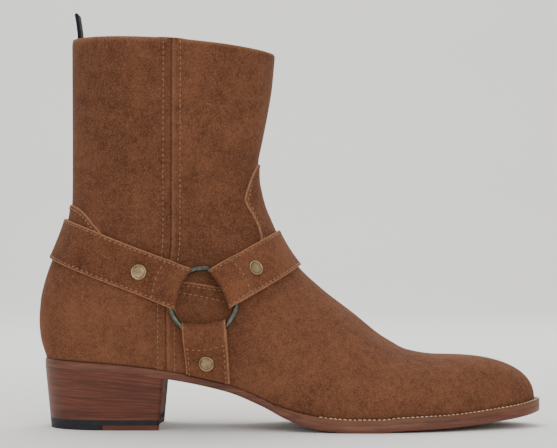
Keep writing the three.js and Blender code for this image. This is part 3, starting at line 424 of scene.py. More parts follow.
# Rows an even way apart on the widest-spread line, with short ones at the rolled topline.
trial = np.linspace(0, collar_row, 2600)
reach_of = np.max([np.linalg.norm(np.diff(skin(trial, w), axis=0), axis=1) for w in (0.0, 0.25, 0.5)], axis=0)
ways = np.concatenate(([0], np.cumsum(reach_of)))
row_count, columns = 293, 208
upper_rows = np.interp(np.linspace(0, ways[-1], row_count), ways, trial)
upper_rows = np.concatenate((upper_rows[:1], upper_rows[1:2] * [0.2, 0.6], upper_rows[1:-1], [collar_row]))
open_rows = int(np.searchsorted(upper_rows, heel_row)) // 2 * 2
upper_rows[open_rows] = heel_row
row_grid, column_grid = np.meshgrid(upper_rows, np.linspace(0, 1, columns + 1), indexing="ij")
on_form = skin(row_grid, column_grid)
height = cover_height(on_form)
height[-2:] -= np.array([0.1, 0.5])[:, None] * mm
outer_face = over(row_grid, column_grid, height)
outer_face[0] = outer_face[0, 0]
inner_face = over(row_grid[::2, ::2], column_grid[::2, ::2], np.full((1, 1), -upper_wall))


def seam_lift(u, p):
    """How far the collar stands up where the layers of the side seam meet."""
    near = smooth((10 * mm - np.abs(seam_offset(p[..., 0], p[..., 2]))) / (5 * mm))
    return collar_seam_rise * near * np.clip((u - 20.9) / 0.07, 0, 1)


outer_face[..., 2] += seam_lift(row_grid, outer_face)
inner_face[..., 2] += seam_lift(row_grid[::2, ::2], inner_face)
inner_face[-1] += skin_normal(row_grid[-1, ::2], column_grid[-1, ::2]) * 0.4 * mm
rows = len(upper_rows)
faces = [f[::-1] for f in strip_faces(rows, columns + 1)]
inner_start = outer_face.shape[0] * outer_face.shape[1]
faces += strip_faces(inner_face.shape[0], inner_face.shape[1], inner_start)
inner_columns = columns // 2 + 1
for j in range(0, columns, 2):
    a, b = (rows - 1) * (columns + 1) + j, inner_start + (inner_face.shape[0] - 1) * inner_columns + j // 2
    faces.append((a, a + 1, a + 2, b + 1, b))
for i in range(0, open_rows, 2):
    for j, k in ((0, 0), (columns, inner_columns - 1)):
        a = [(i + s) * (columns + 1) + j for s in range(3)]
        b = [inner_start + (i // 2 + s) * inner_columns + k for s in range(2)]
        faces.append((a[0], a[1], a[2], b[1], b[0]))
points = np.vstack((outer_face.reshape(-1, 3), inner_face.reshape(-1, 3)))
lining = np.concatenate((np.zeros(inner_start), np.ones(len(points) - inner_start)))
seam_share = np.concatenate((seam_offset(on_form[..., 0], on_form[..., 2]).ravel() / mm,
                             np.full(len(points) - inner_start, 50.0)))
cut_edge_and_ridge_light = np.zeros(len(points))


def beside(u, v, way):
    """Moves places of the skin by a short vector that lies along it."""
    p = skin(u, v)
    a, b = (skin(u + 1e-3, v) - p) / 1e-3, (skin(u, v + 1e-4) - p) / 1e-4
    aa, ab, bb = (a * a).sum(-1), (a * b).sum(-1), (b * b).sum(-1)
    aw, bw = (a * way).sum(-1), (b * way).sum(-1)
    det = np.maximum(aa * bb - ab * ab, 1e-14)
    return u + (aw * bb - bw * ab) / det, v + (bw * aa - aw * ab) / det


def finer(u, v, count):
    """Rows and columns of a line, with more places between the given ones."""
    fine, given = np.linspace(0, len(u) - 1, count), np.arange(len(u))
    return np.interp(fine, given, u), np.interp(fine, given, v)


def round_the_boot(side_line):
    """A line of the side view laid on both sides of the skin: one closed loop from the back round the front."""
    halves = []
    for side in (-1, 1):
        u, v, miss = locate(side_line[:, 0], side_line[:, 1], side)
        good = (miss < 0.05 * mm) & (v > 0.006) & (v < 0.494)
        halves.append((u[good], on_side(v[good], side)))
    (ou, ov), (iu, iv) = halves
    u = np.concatenate((ou[::-1], iu, ou[-1:]))
    v = np.concatenate((ov[::-1], iv, ov[-1:] + 1))
    u, v = finer(u, v, len(u) * 3)
    _, (u, v) = evened(skin(u, v), 1.2 * mm, (u, v))
    return u[:-1], v[:-1]


lap_u, lap_v = round_the_boot(lap_line)

# The cut edge of the lapped leather, in mm: depth in from the edge, height, and how pale its fibres show.
edge_section = [(-0.05, -0.35, 0.8), (0.0, 0.75, 1.0), (0.15, 1.08, 1.0), (0.5, 1.26, 0.75), (1.0, 1.28, 0.15),
                (1.7, 1.22, 0.0), (2.6, 1.18, 0.0), (3.2, 1.0, 0.0)]
lap_p = skin(lap_u, lap_v)
lap_inward = np.cross(skin_normal(lap_u, lap_v), unit(np.roll(lap_p, -1, axis=0) - np.roll(lap_p, 1, axis=0)))
probe = skin(*beside(lap_u, lap_v, lap_inward * mm))
if np.median(lap_depth(probe[:, 0], probe[:, 2])) < 0:
    lap_inward = -lap_inward
ribbon = []
for depth, lift, pale in edge_section:
    u, v = beside(lap_u, lap_v, lap_inward * depth * mm)
    p = skin(u, v)
    ribbon.append(over(u, v, lift * mm + cover_height(p) - lap_rise(p[:, 0], p[:, 2])))
ribbons = [(np.array(ribbon), np.repeat([s[2] for s in edge_section], len(lap_u)))]
faces += strip_faces(len(edge_section), len(lap_u), len(points), wrap=True, wrap_rows=True)

# The turned side seam's section, in mm: place ahead of the seam, height over its band, paleness, which is painted
# light on the front quarter's ridge. The back quarter rolls down into the seam and the front one stands over it.
seam_section = [(-1.9, -0.2, 0.0), (-1.4, -0.02, 0.0), (-0.9, 0.06, 0.0), (-0.45, 0.0, 0.0), (-0.12, -0.28, 0.0),
                (0.05, -0.4, 0.0), (0.25, -0.2, 0.0), (0.55, 0.12, 0.1), (1.1, 0.42, 0.14), (1.9, 0.5, 0.05),
                (2.7, 0.38, 0.0), (3.4, 0.12, 0.0), (3.9, -0.15, 0.0), (3.0, -0.9, 0.0), (-1.0, -0.9, 0.0)]
for side in (-1, 1):
    z = np.arange(0.035 * crest, 1.85 * crest, 1.4 * mm)
    u, v, miss = locate(np.interp(z, seam_line[:, 1], seam_line[:, 0]), z, side)
    good = (miss < 0.05 * mm) & (u < 20.9) & (v > 0.006)
    u, v = u[good], on_side(v[good], side)
    v = np.append(v, v[-1] + (v[-1] - v[-2]) / (u[-1] - u[-2]) * (20.995 - u[-1]))
    u = np.append(u, 20.995)
    ribbon = []
    for ahead, lift, _ in seam_section:
        a, b = beside(np.minimum(u, 20.99), v, np.tile((ahead * mm, 0.0, 0.0), (len(u), 1)))
        p = skin(a, b)
        edge = over(a, b, lift * mm + cover_height(p) + seam_valley(p[:, 0], p[:, 2]))
        edge[:, 2] += seam_lift(u, edge)
        ribbon.append(edge)
    start = len(points) + sum(r.shape[0] * r.shape[1] for r, _ in ribbons)
    count = len(u)
    faces += strip_faces(len(seam_section), count, start, wrap_rows=True)
    faces.append(tuple(start + k * count for k in range(len(seam_section))))
    faces.append(tuple(start + k * count + count - 1 for k in range(len(seam_section)))[::-1])
    ribbons.append((np.array(ribbon), np.repeat([s[2] for s in seam_section], count)))
for ribbon, pale in ribbons:
    points = np.vstack((points, ribbon.reshape(-1, 3)))
    lining = np.concatenate((lining, np.zeros(len(pale))))
    seam_share = np.concatenate((seam_share, seam_offset(ribbon[..., 0], ribbon[..., 2]).ravel() / mm))
    cut_edge_and_ridge_light = np.concatenate((cut_edge_and_ridge_light, pale))
topline = np.zeros(len(points))
topline[: inner_start] = np.repeat(np.clip((upper_rows - 20.945) / 0.03, 0, 1), columns + 1)
cut_edge_and_ridge_light = np.maximum(cut_edge_and_ridge_light, 0.8 * topline)
# Painted shade: the two lowest columns all round the feather line are darkened, standing in for the shadow in the
# crevice where the upper meets the sole.
painted_crevice_shade = np.zeros((rows, columns + 1))
painted_crevice_shade[:open_rows, :2] = painted_crevice_shade[:open_rows, : -3: -1] = (0.9, 0.45)
painted_crevice_shade = np.concatenate((painted_crevice_shade.ravel(), np.zeros(len(points) - inner_start)))
# Painted light and shade of the upper's suede, carried as a share of the mesh.
painted_light_on_upper = painted_light_and_shade(points[:, 0], points[:, 2])
upper = plain_mesh("boot_upper", points, faces, {"cut_edge_and_ridge_light": cut_edge_and_ridge_light, "lining": lining, "seam": seam_share,
                                                 "painted_crevice_shade": painted_crevice_shade, "painted_light_and_shade": painted_light_on_upper},
                   closed=True, sharp=60)


def colour(red, green, blue):
    """A colour as it looks in daylight, 0 to 255, made linear."""
    shares = [c / 255 for c in (red, green, blue)]
    return tuple(c / 12.92 if c < 0.04 else ((c + 0.055) / 1.055) ** 2.4 for c in shares) + (1,)


def fill(node, inputs):
    """Joins each input of a node to an output, or sets it to a number, colour or material."""
    for key, value in inputs.items():
        if isinstance(value, bpy.types.NodeSocket):
            node.id_data.links.new(value, node.inputs[key])
        else:
            node.inputs[key].default_value = value


def node_in(tree, kind, inputs=None, **settings):
    new = tree.nodes.new(kind)
    for key, value in settings.items():
        setattr(new, key, value)
    fill(new, inputs or {})
    return new


class Finish:
    """A material in the making: its shader, the place on the piece, and the nodes that colour it."""

    def __init__(self, name):
        self.material = bpy.data.materials.new(name)
        self.material.use_nodes = True
        self.shader = next(n for n in self.material.node_tree.nodes if n.type == "BSDF_PRINCIPLED")
        self.at = self.node("ShaderNodeTexCoord").outputs["Object"]

    def node(self, kind, inputs=None, **settings):
        return node_in(self.material.node_tree, kind, inputs, **settings)

    def maths(self, operation, *values):
        return self.node("ShaderNodeMath", dict(enumerate(values)), operation=operation).outputs[0]

    def share(self, name):
        """A share that the mesh carries at its points."""
        return self.node("ShaderNodeAttribute", attribute_name=name).outputs["Fac"]

    def speckle(self, scale, detail=3.0, rough=0.6, stretch=None, at=None):
        at = self.at if at is None else at
        if stretch:
            at = self.node("ShaderNodeMapping", {"Vector": at, "Scale": stretch}).outputs[0]
        noise = {"Vector": at, "Scale": scale, "Detail": detail, "Roughness": rough}
        return self.node("ShaderNodeTexNoise", noise).outputs["Fac"]

    def spread(self, value, low, high, to_low=0.0, to_high=1.0):
        return self.node("ShaderNodeMapRange", {"Value": value, "From Min": low, "From Max": high,
                                                "To Min": to_low, "To Max": to_high}).outputs[0]

    def mixed(self, factor, first, second):
        return self.node("ShaderNodeMix", {0: factor, 6: first, 7: second}, data_type="RGBA").outputs[2]

    def weighed(self, *parts):
        """Sum of noises about their middle, each by its weight."""
        total = 0.5
        for value, weight in parts:
            total = self.maths("MULTIPLY_ADD", self.maths("SUBTRACT", value, 0.5), weight, total)
        return total

    def done(self, strength, distance, height, sockets):
        """Sets the shader's sockets and its bump, and gives the material."""
        bump = self.node("ShaderNodeBump", {"Strength": strength, "Distance": distance, "Height": height})
        fill(self.shader, {**sockets, "Normal": bump.outputs[0]})
        return self.material


def suede_finish(name, dark, light, cut, lined=False):
    """Brushed suede: clouds where the nap lies over, fine speckle, pale cut edges, a faint sheen, patches of
    painted light and shade, painted shade in the crevice at the sole, and, when lined, painted shade in the side
    seam's valley with painted light on its ridge.
    """
    f = Finish(name)
    drift, cloud, patch = f.speckle(14, 2, 0.5), f.speckle(62), f.speckle(260, 2, 0.5)
    nap = f.speckle(1080, 3, 0.62)
    fibre = f.speckle(1900, 2, 0.6, (1, 1, 0.4))
    fleck = f.speckle(1500, 2, 0.55)
    nap_tone_and_painted_light = f.weighed((drift, 0.8), (cloud, 0.8), (patch, 0.7), (nap, 1.6), (fibre, 0.7))
    # Painted light and shade from the patches is added to the nap's random tone.
    nap_tone_and_painted_light = f.maths("ADD", nap_tone_and_painted_light, f.share("painted_light_and_shade"))
    base = f.mixed(f.spread(nap_tone_and_painted_light, 0.0, 1.2, 0.0, 1.2), dark, light)
    base = f.mixed(f.spread(fleck, 0.56, 0.74, 0.0, 0.5), base, cut)
    # Pale cut edges, and painted light on the side seam's ridge, broken by the nap and mixed towards the cut
    # colour.
    pale_edge_and_ridge_light = f.maths("MULTIPLY", f.share("cut_edge_and_ridge_light"), f.spread(nap, 0.36, 0.56, 0.35, 1.0))
    base = f.mixed(pale_edge_and_ridge_light, base, cut)
    # Painted shade of the crevice along the sole: the suede is mixed towards a near-black brown.
    base = f.mixed(f.share("painted_crevice_shade"), base, colour(34, 20, 14))
    rough = 0.94
    if lined:
        off = f.share("seam")
        # Painted shade darkens the suede in the side seam's valley, and painted light makes the ridge in front of
        # it paler.
        painted_seam_shade = f.spread(f.maths("ABSOLUTE", off), 0.15, 0.75, 1.0, 0.0)
        ridge = f.maths("MULTIPLY", f.spread(off, 0.5, 1.3), f.spread(off, 1.6, 3.6, 1.0, 0.0))
        base = f.mixed(f.maths("MULTIPLY", painted_seam_shade, 0.35), base, dark)
        base = f.mixed(f.maths("MULTIPLY", ridge, 0.12), base, cut)
        inside = f.share("lining")
        pores = f.spread(f.speckle(900, 3, 0.55), 0.35, 0.7)
        base = f.mixed(inside, base, f.mixed(pores, colour(128, 90, 58), colour(150, 110, 74)))
        rough = f.spread(inside, 0, 1, 0.94, 0.6)
    return f.done(0.8, 0.6 * mm, f.weighed((nap, 0.5), (fibre, 0.25)), {
        "Base Color": base, "Roughness": rough, "Specular IOR Level": 0.18, "Sheen Weight": 0.06,
        "Sheen Roughness": 0.5, "Sheen Tint": colour(206, 150, 110)})


suede = suede_finish("rust suede", colour(70, 40, 25), colour(119, 76, 53), colour(156, 113, 83), lined=True)
upper.data.materials.append(suede)
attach(upper, "root")
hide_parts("upper")

# Sewing of the upper: tan thread, sewn by machine when vamp and counter are lapped on the shaft.
# One row follows the lapped edge close by, a second one shows between the straps, and one runs
# down on each side of the side seams.
thread_pitch = 3.1 * mm
thread_width = 0.72 * mm
edge_margin = 2.1 * mm
edge_row_lift = 0.24 * mm
second_row_lift = 0.12 * mm
seam_row_lift = 0.08 * mm
seam_row_places = (-0.35, 0.41)


def stitch_tree(name):
    """Stitches along lines: Pitch, Length and Thread are the sizes of one stitch."""
    tree = bpy.data.node_groups.new(name, "GeometryNodeTree")
    sockets = [("Lines", "Geometry"), ("Pitch", "Float"), ("Length", "Float"), ("Thread", "Float"),
               ("Finish", "Material")]
    for key, kind in sockets:
        tree.interface.new_socket(key, in_out="INPUT", socket_type="NodeSocket" + kind)
    tree.interface.new_socket("Stitches", in_out="OUTPUT", socket_type="NodeSocketGeometry")
    node = functools.partial(node_in, tree)
    given = node("NodeGroupInput").outputs
    curve = node("GeometryNodeMeshToCurve", {"Mesh": given["Lines"]}).outputs[0]
    even = node("GeometryNodeResampleCurve", {"Curve": curve, "Length": given["Pitch"]}, mode="LENGTH").outputs[0]
    spots = node("GeometryNodeCurveToPoints", {"Curve": even}, mode="EVALUATED")
    ball = node("GeometryNodeMeshUVSphere", {"Segments": 8, "Rings": 6, "Radius": 0.5}).outputs["Mesh"]
    size = node("ShaderNodeCombineXYZ", {"X": given["Thread"], "Y": given["Thread"],
                                         "Z": given["Length"]}).outputs[0]
    stitch = node("GeometryNodeTransform", {"Geometry": ball, "Scale": size}).outputs[0]
    turn = node("FunctionNodeRandomValue", {0: (-0.09, -0.09, 0.0), 1: (0.09, 0.09, 3.0), "Seed": 7},
                data_type="FLOAT_VECTOR").outputs[0]
    turned = node("FunctionNodeRotateRotation", {"Rotation": spots.outputs["Rotation"], "Rotate By": turn},
                  rotation_space="LOCAL").outputs[0]
    grow = node("FunctionNodeRandomValue", {2: 0.86, 3: 1.12, "Seed": 11}, data_type="FLOAT").outputs[1]
    placed = node("GeometryNodeInstanceOnPoints", {"Points": spots.outputs["Points"], "Instance": stitch,
                                                   "Rotation": turned, "Scale": grow}).outputs[0]
    real = node("GeometryNodeRealizeInstances", {"Geometry": placed}).outputs[0]
    done = node("GeometryNodeSetMaterial", {"Geometry": real, "Material": given["Finish"]}).outputs[0]
    node("NodeGroupOutput", {"Stitches": done})
    return tree


stitching = stitch_tree("stitches along lines")


def sewn(name, lines, finish, pitch=thread_pitch, length=0.64 * thread_pitch, thread=thread_width):
    """Stitches on some lines of points, as one plain mesh that rides on the boot."""
    points, edges = [], []
    for points_of_line in lines:
        start = len(points)
        points += [tuple(map(float, p)) for p in points_of_line]
        edges += [(k, k + 1) for k in range(start, len(points) - 1)]
    mesh = bpy.data.meshes.new(name + "_lines")
    mesh.from_pydata(points, edges, [])
    guide = linked(name + "_lines", mesh)
    modifier = guide.modifiers.new("stitches", "NODES")
    modifier.node_group = stitching
    names = {item.name: item.identifier for item in stitching.interface.items_tree if item.in_out == "INPUT"}
    for key, value in (("Pitch", pitch), ("Length", length), ("Thread", thread), ("Finish", finish)):
        modifier[names[key]] = value
    bpy.context.view_layer.update()
    done = bpy.data.meshes.new_from_object(guide.evaluated_get(bpy.context.evaluated_depsgraph_get()))
    done.shade_smooth()
    piece = linked(name, done)
    bpy.data.objects.remove(guide)
    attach(piece, "root")


def thread_finish(name, dark, light):
    f = Finish(name)
    ply = f.speckle(1300, 2, 0.5)
    base = f.mixed(f.spread(ply, 0.35, 0.65), dark, light)
    return f.done(0.5, 0.1 * mm, ply, {"Base Color": base, "Roughness": 0.6, "Sheen Weight": 0.2})


tan_thread = thread_finish("tan thread", colour(118, 77, 49), colour(148, 102, 68))
u, v = beside(lap_u, lap_v, lap_inward * edge_margin)
edge_row = over(u, v, cover_height(skin(u, v)) + edge_row_lift)
rows_on_upper = [np.vstack((edge_row, edge_row[:1]))]
second_row = [place(*p) for p in ((0.262, 0.626), (0.284, 0.6145), (0.3207, 0.6), (0.3603, 0.5794), (0.386, 0.562))]
second_row, _ = evened(second_row, 1 * mm)
for side in (-1, 1):
    u, v, _ = locate(second_row[:, 0], second_row[:, 1], side)
    v = on_side(v, side)
    rows_on_upper.append(over(u, v, cover_height(skin(u, v)) + second_row_lift))
for side in (-1, 1):
    for off in seam_row_places:
        z = np.linspace(0.03 * crest, 1.8 * crest, 260)
        x = np.interp(z, seam_line[:, 1], seam_line[:, 0]) + off * seam_width
        u, v, miss = locate(x, z, side)
        good = (miss < 0.05 * mm) & (u < 20.96) & (v > 0.01)
        v = on_side(v, side)
        rows_on_upper.append(over(u, v, cover_height(skin(u, v)) + seam_row_lift)[good])
sewn("upper_stitching", rows_on_upper, tan_thread, length=0.68 * thread_pitch)

# The pull loop: a woven cotton tape, folded double and sewn inside the back of the collar.
# It stands up out of the boot and leans a little to the back.
tape_thickness = 0.9 * mm
tape_width = 18 * mm
loop_rise = 16 * mm
loop_depth = 22 * mm
loop_lean = 1.8 * mm


def inside_back(u, y):
    """Where the lining of the back stands, at a row and a distance from the middle."""
    near, far = 0.0, 0.2 if y < 0 else -0.2
    for _ in range(30):
        v = (near + far) / 2
        if abs(float(over(np.array([u]), np.array([v]), -upper_wall)[0, 1])) < abs(y):
            near = v
        else:
            far = v
    return float(over(np.array([u]), np.array([near]), -upper_wall)[0, 0])


anchor = over(np.array([float(collar_row)]), np.array([0.0]), -upper_wall - clearance)[0]
anchor_x = max([float(anchor[0])] + [inside_back(collar_row - step, side * (tape_width / 2 + clearance)) + clearance
                                     for side in (-1, 0, 1) for step in (0, 0.3, 0.6)])
half_tape = tape_thickness + clearance / 2
loop_x, loop_z = anchor_x + half_tape, anchor[2]
middle_line = np.array([
    (loop_x, loop_z - loop_depth), (loop_x, loop_z - loop_depth / 2), (loop_x, loop_z),
    (loop_x - loop_lean * 0.45, loop_z + loop_rise * 0.55), (loop_x - loop_lean, loop_z + loop_rise - half_tape)])
steps = np.linspace(0, 4, 60)
loop_path = np.stack([curve_through(np.arange(5), middle_line[:, k])(steps) for k in (0, 1)], axis=1)
aim = unit(np.gradient(loop_path, axis=0))
out = np.stack((aim[:, 1], -aim[:, 0]), axis=1)
turn_angles = np.linspace(0, np.pi, 13)[1:-1]


def tape_face(distance):
    cap = [loop_path[-1] + (out[-1] * math.cos(a) + aim[-1] * math.sin(a)) * distance for a in turn_angles]
    return np.vstack((loop_path + out * distance, cap, (loop_path - out * distance)[::-1]))


across = np.array([-1, -0.97, -0.5, 0, 0.5, 0.97, 1]) * tape_width / 2
tape_points = np.array([np.stack((line_xz[:, 0], np.full(len(line_xz), y), line_xz[:, 1]), axis=1)
                        for line_xz, lanes in ((tape_face(half_tape), across),
                                               (tape_face(clearance * 0.4), across[::-1])) for y in lanes])
count = tape_points.shape[1]
faces = strip_faces(len(tape_points), count)
last_row = (len(tape_points) - 1) * count
faces += [(last_row + k, last_row + k + 1, k + 1, k) for k in range(count - 1)]
faces += [tuple(r * count for r in range(len(tape_points))),
          tuple(r * count + count - 1 for r in range(len(tape_points)))[::-1]]
pull_loop = plain_mesh("pull_loop_tape", tape_points.reshape(-1, 3), faces, sharp=50)
f = Finish("grey woven tape")
ribs = f.node("ShaderNodeTexWave", {"Vector": f.at, "Scale": 260.0, "Distortion": 0.6, "Detail": 1.0},
              wave_type="BANDS", bands_direction="Z").outputs["Fac"]
warp = f.node("ShaderNodeTexWave", {"Vector": f.at, "Scale": 420.0, "Distortion": 0.4}, wave_type="BANDS",
              bands_direction="Y").outputs["Fac"]
weave = f.maths("MULTIPLY", ribs, warp)
pull_loop.data.materials.append(f.done(0.6, 0.2 * mm, weave, {
    "Base Color": f.mixed(weave, colour(40, 41, 46), colour(74, 76, 82)), "Roughness": 0.95,
    "Specular IOR Level": 0.08, "Sheen Weight": 0.03}))
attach(pull_loop, "root")
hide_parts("pull_loop")

# The insole: a board of pressed leather that fills the bottom of the upper. It is cut flat, its edge
# eased, and cemented in, and it shows only from above through the collar.
insole_thickness = 3 * mm
fan = (1 - np.cos(np.linspace(0, np.pi, 261))) / 2


def plan_point(along, side, distance):
    """Points of the sole's plan at a distance outside the feather line."""
    along, side, distance = np.broadcast_arrays(*(np.asarray(a, float) for a in (along, side, distance)))

    def at(share):
        return np.stack((along_x(share), foot_shift(share) + side * foot_half(share)), axis=-1)

    here = at(along)
    tangent = at(np.minimum(1, along + 1e-4)) - at(np.maximum(0, along - 1e-4))
    p = here + unit(np.stack((-tangent[..., 1], tangent[..., 0]), axis=-1)) * (side * distance)[..., None]
    for end, sign in ((along <= 0, -1), (along >= 1, 1)):
        p[end, 0] = here[end, 0] + sign * distance[end]
        p[end, 1] = foot_shift(0.0 if sign < 0 else 1.0)
    return p


def raised(p, height_at, lift=0.0):
    return np.stack((p[..., 0], p[..., 1], height_at(along_at(p[..., 0])) + lift), axis=-1)


def closed_band(name, loops, floats=None, capped=False, **more):
    """A body from rows of closed outlines, its ends drawn together or capped."""
    loops = np.asarray(loops)
    count = loops.shape[1]
    faces = strip_faces(len(loops), count, wrap=True)
    if capped:
        faces.append(tuple(range(count))[::-1])
        faces.append(tuple((len(loops) - 1) * count + k for k in range(count)))
    return plain_mesh(name, loops.reshape(-1, 3), faces, floats, **more)


def sole_layer(name, left_turn, right_turn, top_at, under_at, **more):
    """A layer of the sole: the edge lines of both sides, joined over the top and underneath."""
    lanes = np.linspace(0, 1, 11)[1:-1]
    over_top = [left_turn[0] + (right_turn[0] - left_turn[0]) * t for t in lanes]
    under = [right_turn[-1] + (left_turn[-1] - right_turn[-1]) * t for t in lanes]
    for rails, height_at in ((over_top, top_at), (under, under_at)):
        for rail in rails:
            rail[:, 2] = height_at(along_at(rail[:, 0]))
    loops = over_top + right_turn + under + left_turn[::-1]
    return closed_band(name, np.array(loops).transpose(1, 0, 2), **more)


def insole_under(along):
    return seat_z(along) + clearance


def insole_top(along):
    return insole_under(along) + insole_thickness


# The board's edge in mm: how far in, on its top or under it, and lift.
insole_gap = 2.1 * mm
insole_turn = [(1.2, insole_top, 0.0), (0.4, insole_top, -0.08), (0.0, insole_top, -0.5),
               (0.8, insole_under, 0.3), (1.6, insole_under, 0.0)]
insole_sides = [[raised(plan_point(fan, side, -insole_gap - inset * mm), height_at, lift * mm)
                 for inset, height_at, lift in insole_turn] for side in (-1, 1)]
insole = sole_layer("insole_board", *insole_sides, insole_top, insole_under, sharp=50)
f = Finish("leather board")
pores = f.speckle(700)
wear = f.speckle(30, 3, 0.5)
base = f.mixed(f.spread(pores, 0.3, 0.7), colour(150, 108, 70), colour(178, 136, 96))
insole.data.materials.append(f.done(0.4, 0.15 * mm, pores, {
    "Base Color": f.mixed(f.spread(wear, 0.45, 0.7, 0, 0.5), base, colour(126, 88, 56)),
    "Roughness": f.spread(pores, 0.3, 0.7, 0.55, 0.75)}))
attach(insole, "root")
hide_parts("insole")

# The welt: a strip of vegetable-tanned leather round the forefoot, sewn to the outsole.
# Its edge is trimmed with the sole's, and cream thread shows on its upper face.
welt_edge = 2.9 * mm
welt_start = 0.47


def sole_reach(along):
    return lap_step + plan["edge"](along) * welt_edge


fore = fan[(fan > welt_start) & (fan < 1)]
welt_along = np.concatenate(([welt_start], fore, [1.0], fore[::-1], [welt_start]))
welt_side = np.concatenate((-np.ones(len(fore) + 1), [1.0], np.ones(len(fore) + 1)))
# The strip's outline across, in mm: how far in, on its upper face or not, and lift.
welt_turn = [(0.0, 0, 0.05), (0.0, 1, -0.5), (0.15, 1, -0.12), (0.55, 1, 0.0), (1.7, 1, -0.08), (4.1, 1, -0.1),
             (7.0, 1, -0.1), (11.0, 1, -0.1), (11.0, 0, 0.05), (4.1, 0, 0.05)]
welt_loops = []
for inset, upper_face, lift in welt_turn:
    p = plan_point(welt_along, welt_side, sole_reach(welt_along) - inset * mm)
    loop = raised(p, seat_z if upper_face else outsole_top, lift * mm)
    if upper_face:
        loop[:, 2] = np.maximum(loop[:, 2], raised(p, outsole_top, 0.1 * mm)[:, 2])
    welt_loops.append(loop)
welt = closed_band("welt_strip", np.array(welt_loops).transpose(1, 0, 2), capped=True, sharp=55)
layer_grain = 5.2 * mm


def sole_leather_finish(name, dark, middle, light, streak, lifts=False, wax=0.12):
    """Waxed and burnished sole leather, its fibres showing as long streaks along the cut edge."""
    f = Finish(name)
    grain, gloss = f.at, 0.25
    if lifts:
        parts = f.node("ShaderNodeSeparateXYZ", {0: f.at}).outputs
        own_height = f.maths("MULTIPLY", f.share("layer"), layer_grain)
        grain = f.node("ShaderNodeCombineXYZ", {"X": parts[0], "Y": parts[1], "Z": own_height}).outputs[0]
        gloss, wax = [f.spread(f.share("polish"), 0, 1, 0, most) for most in (0.27, wax)]
    long_fibre = f.speckle(10, 4, 0.62, (1.2, 1.2, streak), grain)
    short_fibre = f.speckle(40, 3, 0.6, (1, 1, streak * 0.7), grain)
    base = f.mixed(f.spread(long_fibre, 0.34, 0.66), dark, middle)
    base = f.mixed(f.spread(short_fibre, 0.45, 0.72, 0, 0.6), base, light)
    base = f.mixed(f.spread(f.speckle(26, 3, 0.5), 0.5, 0.75, 0, 0.45), base, dark)
    return f.done(0.25, 0.15 * mm, short_fibre, {
        "Base Color": base, "Roughness": f.spread(short_fibre, 0.3, 0.7, 0.42, 0.58),
        "Specular IOR Level": gloss, "Coat Weight": wax, "Coat Roughness": 0.3})


welt.data.materials.append(sole_leather_finish("welt leather", colour(84, 50, 33), colour(110, 69, 47),
                                               colour(130, 86, 60), 14))
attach(welt, "root")
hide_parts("welt")
cream_thread = thread_finish("cream thread", colour(192, 150, 114), colour(230, 196, 162))
sewn_start = 0.555
stitch_inset = 1.15 * mm
welt_row = plan_point(welt_along, welt_side, sole_reach(welt_along) - stitch_inset)[welt_along > sewn_start]
sewn("welt_stitching", [raised(welt_row, seat_z, 0.12 * mm)], cream_thread,
     pitch=2.8 * mm, length=2.15 * mm, thread=0.75 * mm)

# The outsole: one piece of bend leather from heel seat to toe, its edge trimmed, waxed and burnished.
# It drops from the heel through the waist to the ball and springs up at the toe.
edge_turn = [(1.1, 1, 0.0), (0.3, 1, -0.05), (0.0, 1, -0.4), (0.0, 0, 0.9), (0.3, 0, 0.25), (1.1, 0, 0.0)]
free_top = 1 - 0.75 * line["welt"](fan)
free_foot = 0.03 + 0.97 * smooth((fan - 0.236) / 0.03)


def sole_side(side, inset, upper_face, lift):
    free = free_top if upper_face else free_foot
    p = plan_point(fan, side, sole_reach(fan) - inset * free * mm)
    return raised(p, outsole_top if upper_face else sole_z, lift * free * mm)


outsole_sides = [[sole_side(side, *turn) for turn in edge_turn] for side in (-1, 1)]
outsole = sole_layer("outsole_leather", *outsole_sides, outsole_top, sole_z, sharp=50)
outsole.data.materials.append(sole_leather_finish("burnished sole leather", colour(74, 41, 30),
                                                  colour(110, 65, 47), colour(134, 88, 65), 16))
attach(outsole, "root")
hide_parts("outsole")

# The stacked heel: seven leather lifts, nailed and cemented one on another, then trimmed together,
# stained reddish brown and waxed. Under them lie one full black rubber layer and the top piece,
# rubber behind and leather in front.
breast_along = 70 * mm
heel_taper = 3.6 * mm
breast_rake = 2.8 * mm
breast_hollow = 2.2 * mm
lift_count = 7
rubber_thickness = 3 * mm
top_piece_thickness = 3 * mm
rubber_length = 33.8 * mm
stack_foot = top_piece_thickness + rubber_thickness
rubber_end = rubber_length / last_length
breast = breast_along / last_length
lift_joint = 0.01 * mm
rubber_joint = 0.03 * mm
top_piece_joint = 0.1 * mm
edge_ease = 0.06 * mm


def heel_point(along, share, z):
    reach = sole_reach(along)
    outer, inner = plan_point(along, -1, reach), plan_point(along, 1, reach)
    p = outer + (inner - outer) * share[..., None]
    down = 1 - z / sole_z(along)
    back = along_x(0) - float(sole_reach(0.0))
    front = along_x(breast)
    run = (p[..., 0] - back) / (front - back)
    hollow = breast_hollow * (1 - (2 * share - 1) ** 2) * run ** 4
    x = (back + heel_taper * down) * (1 - run) + (front - breast_rake * down) * run - hollow
    return np.stack((x, p[..., 1] * (1 - 0.03 * down), z), axis=-1)


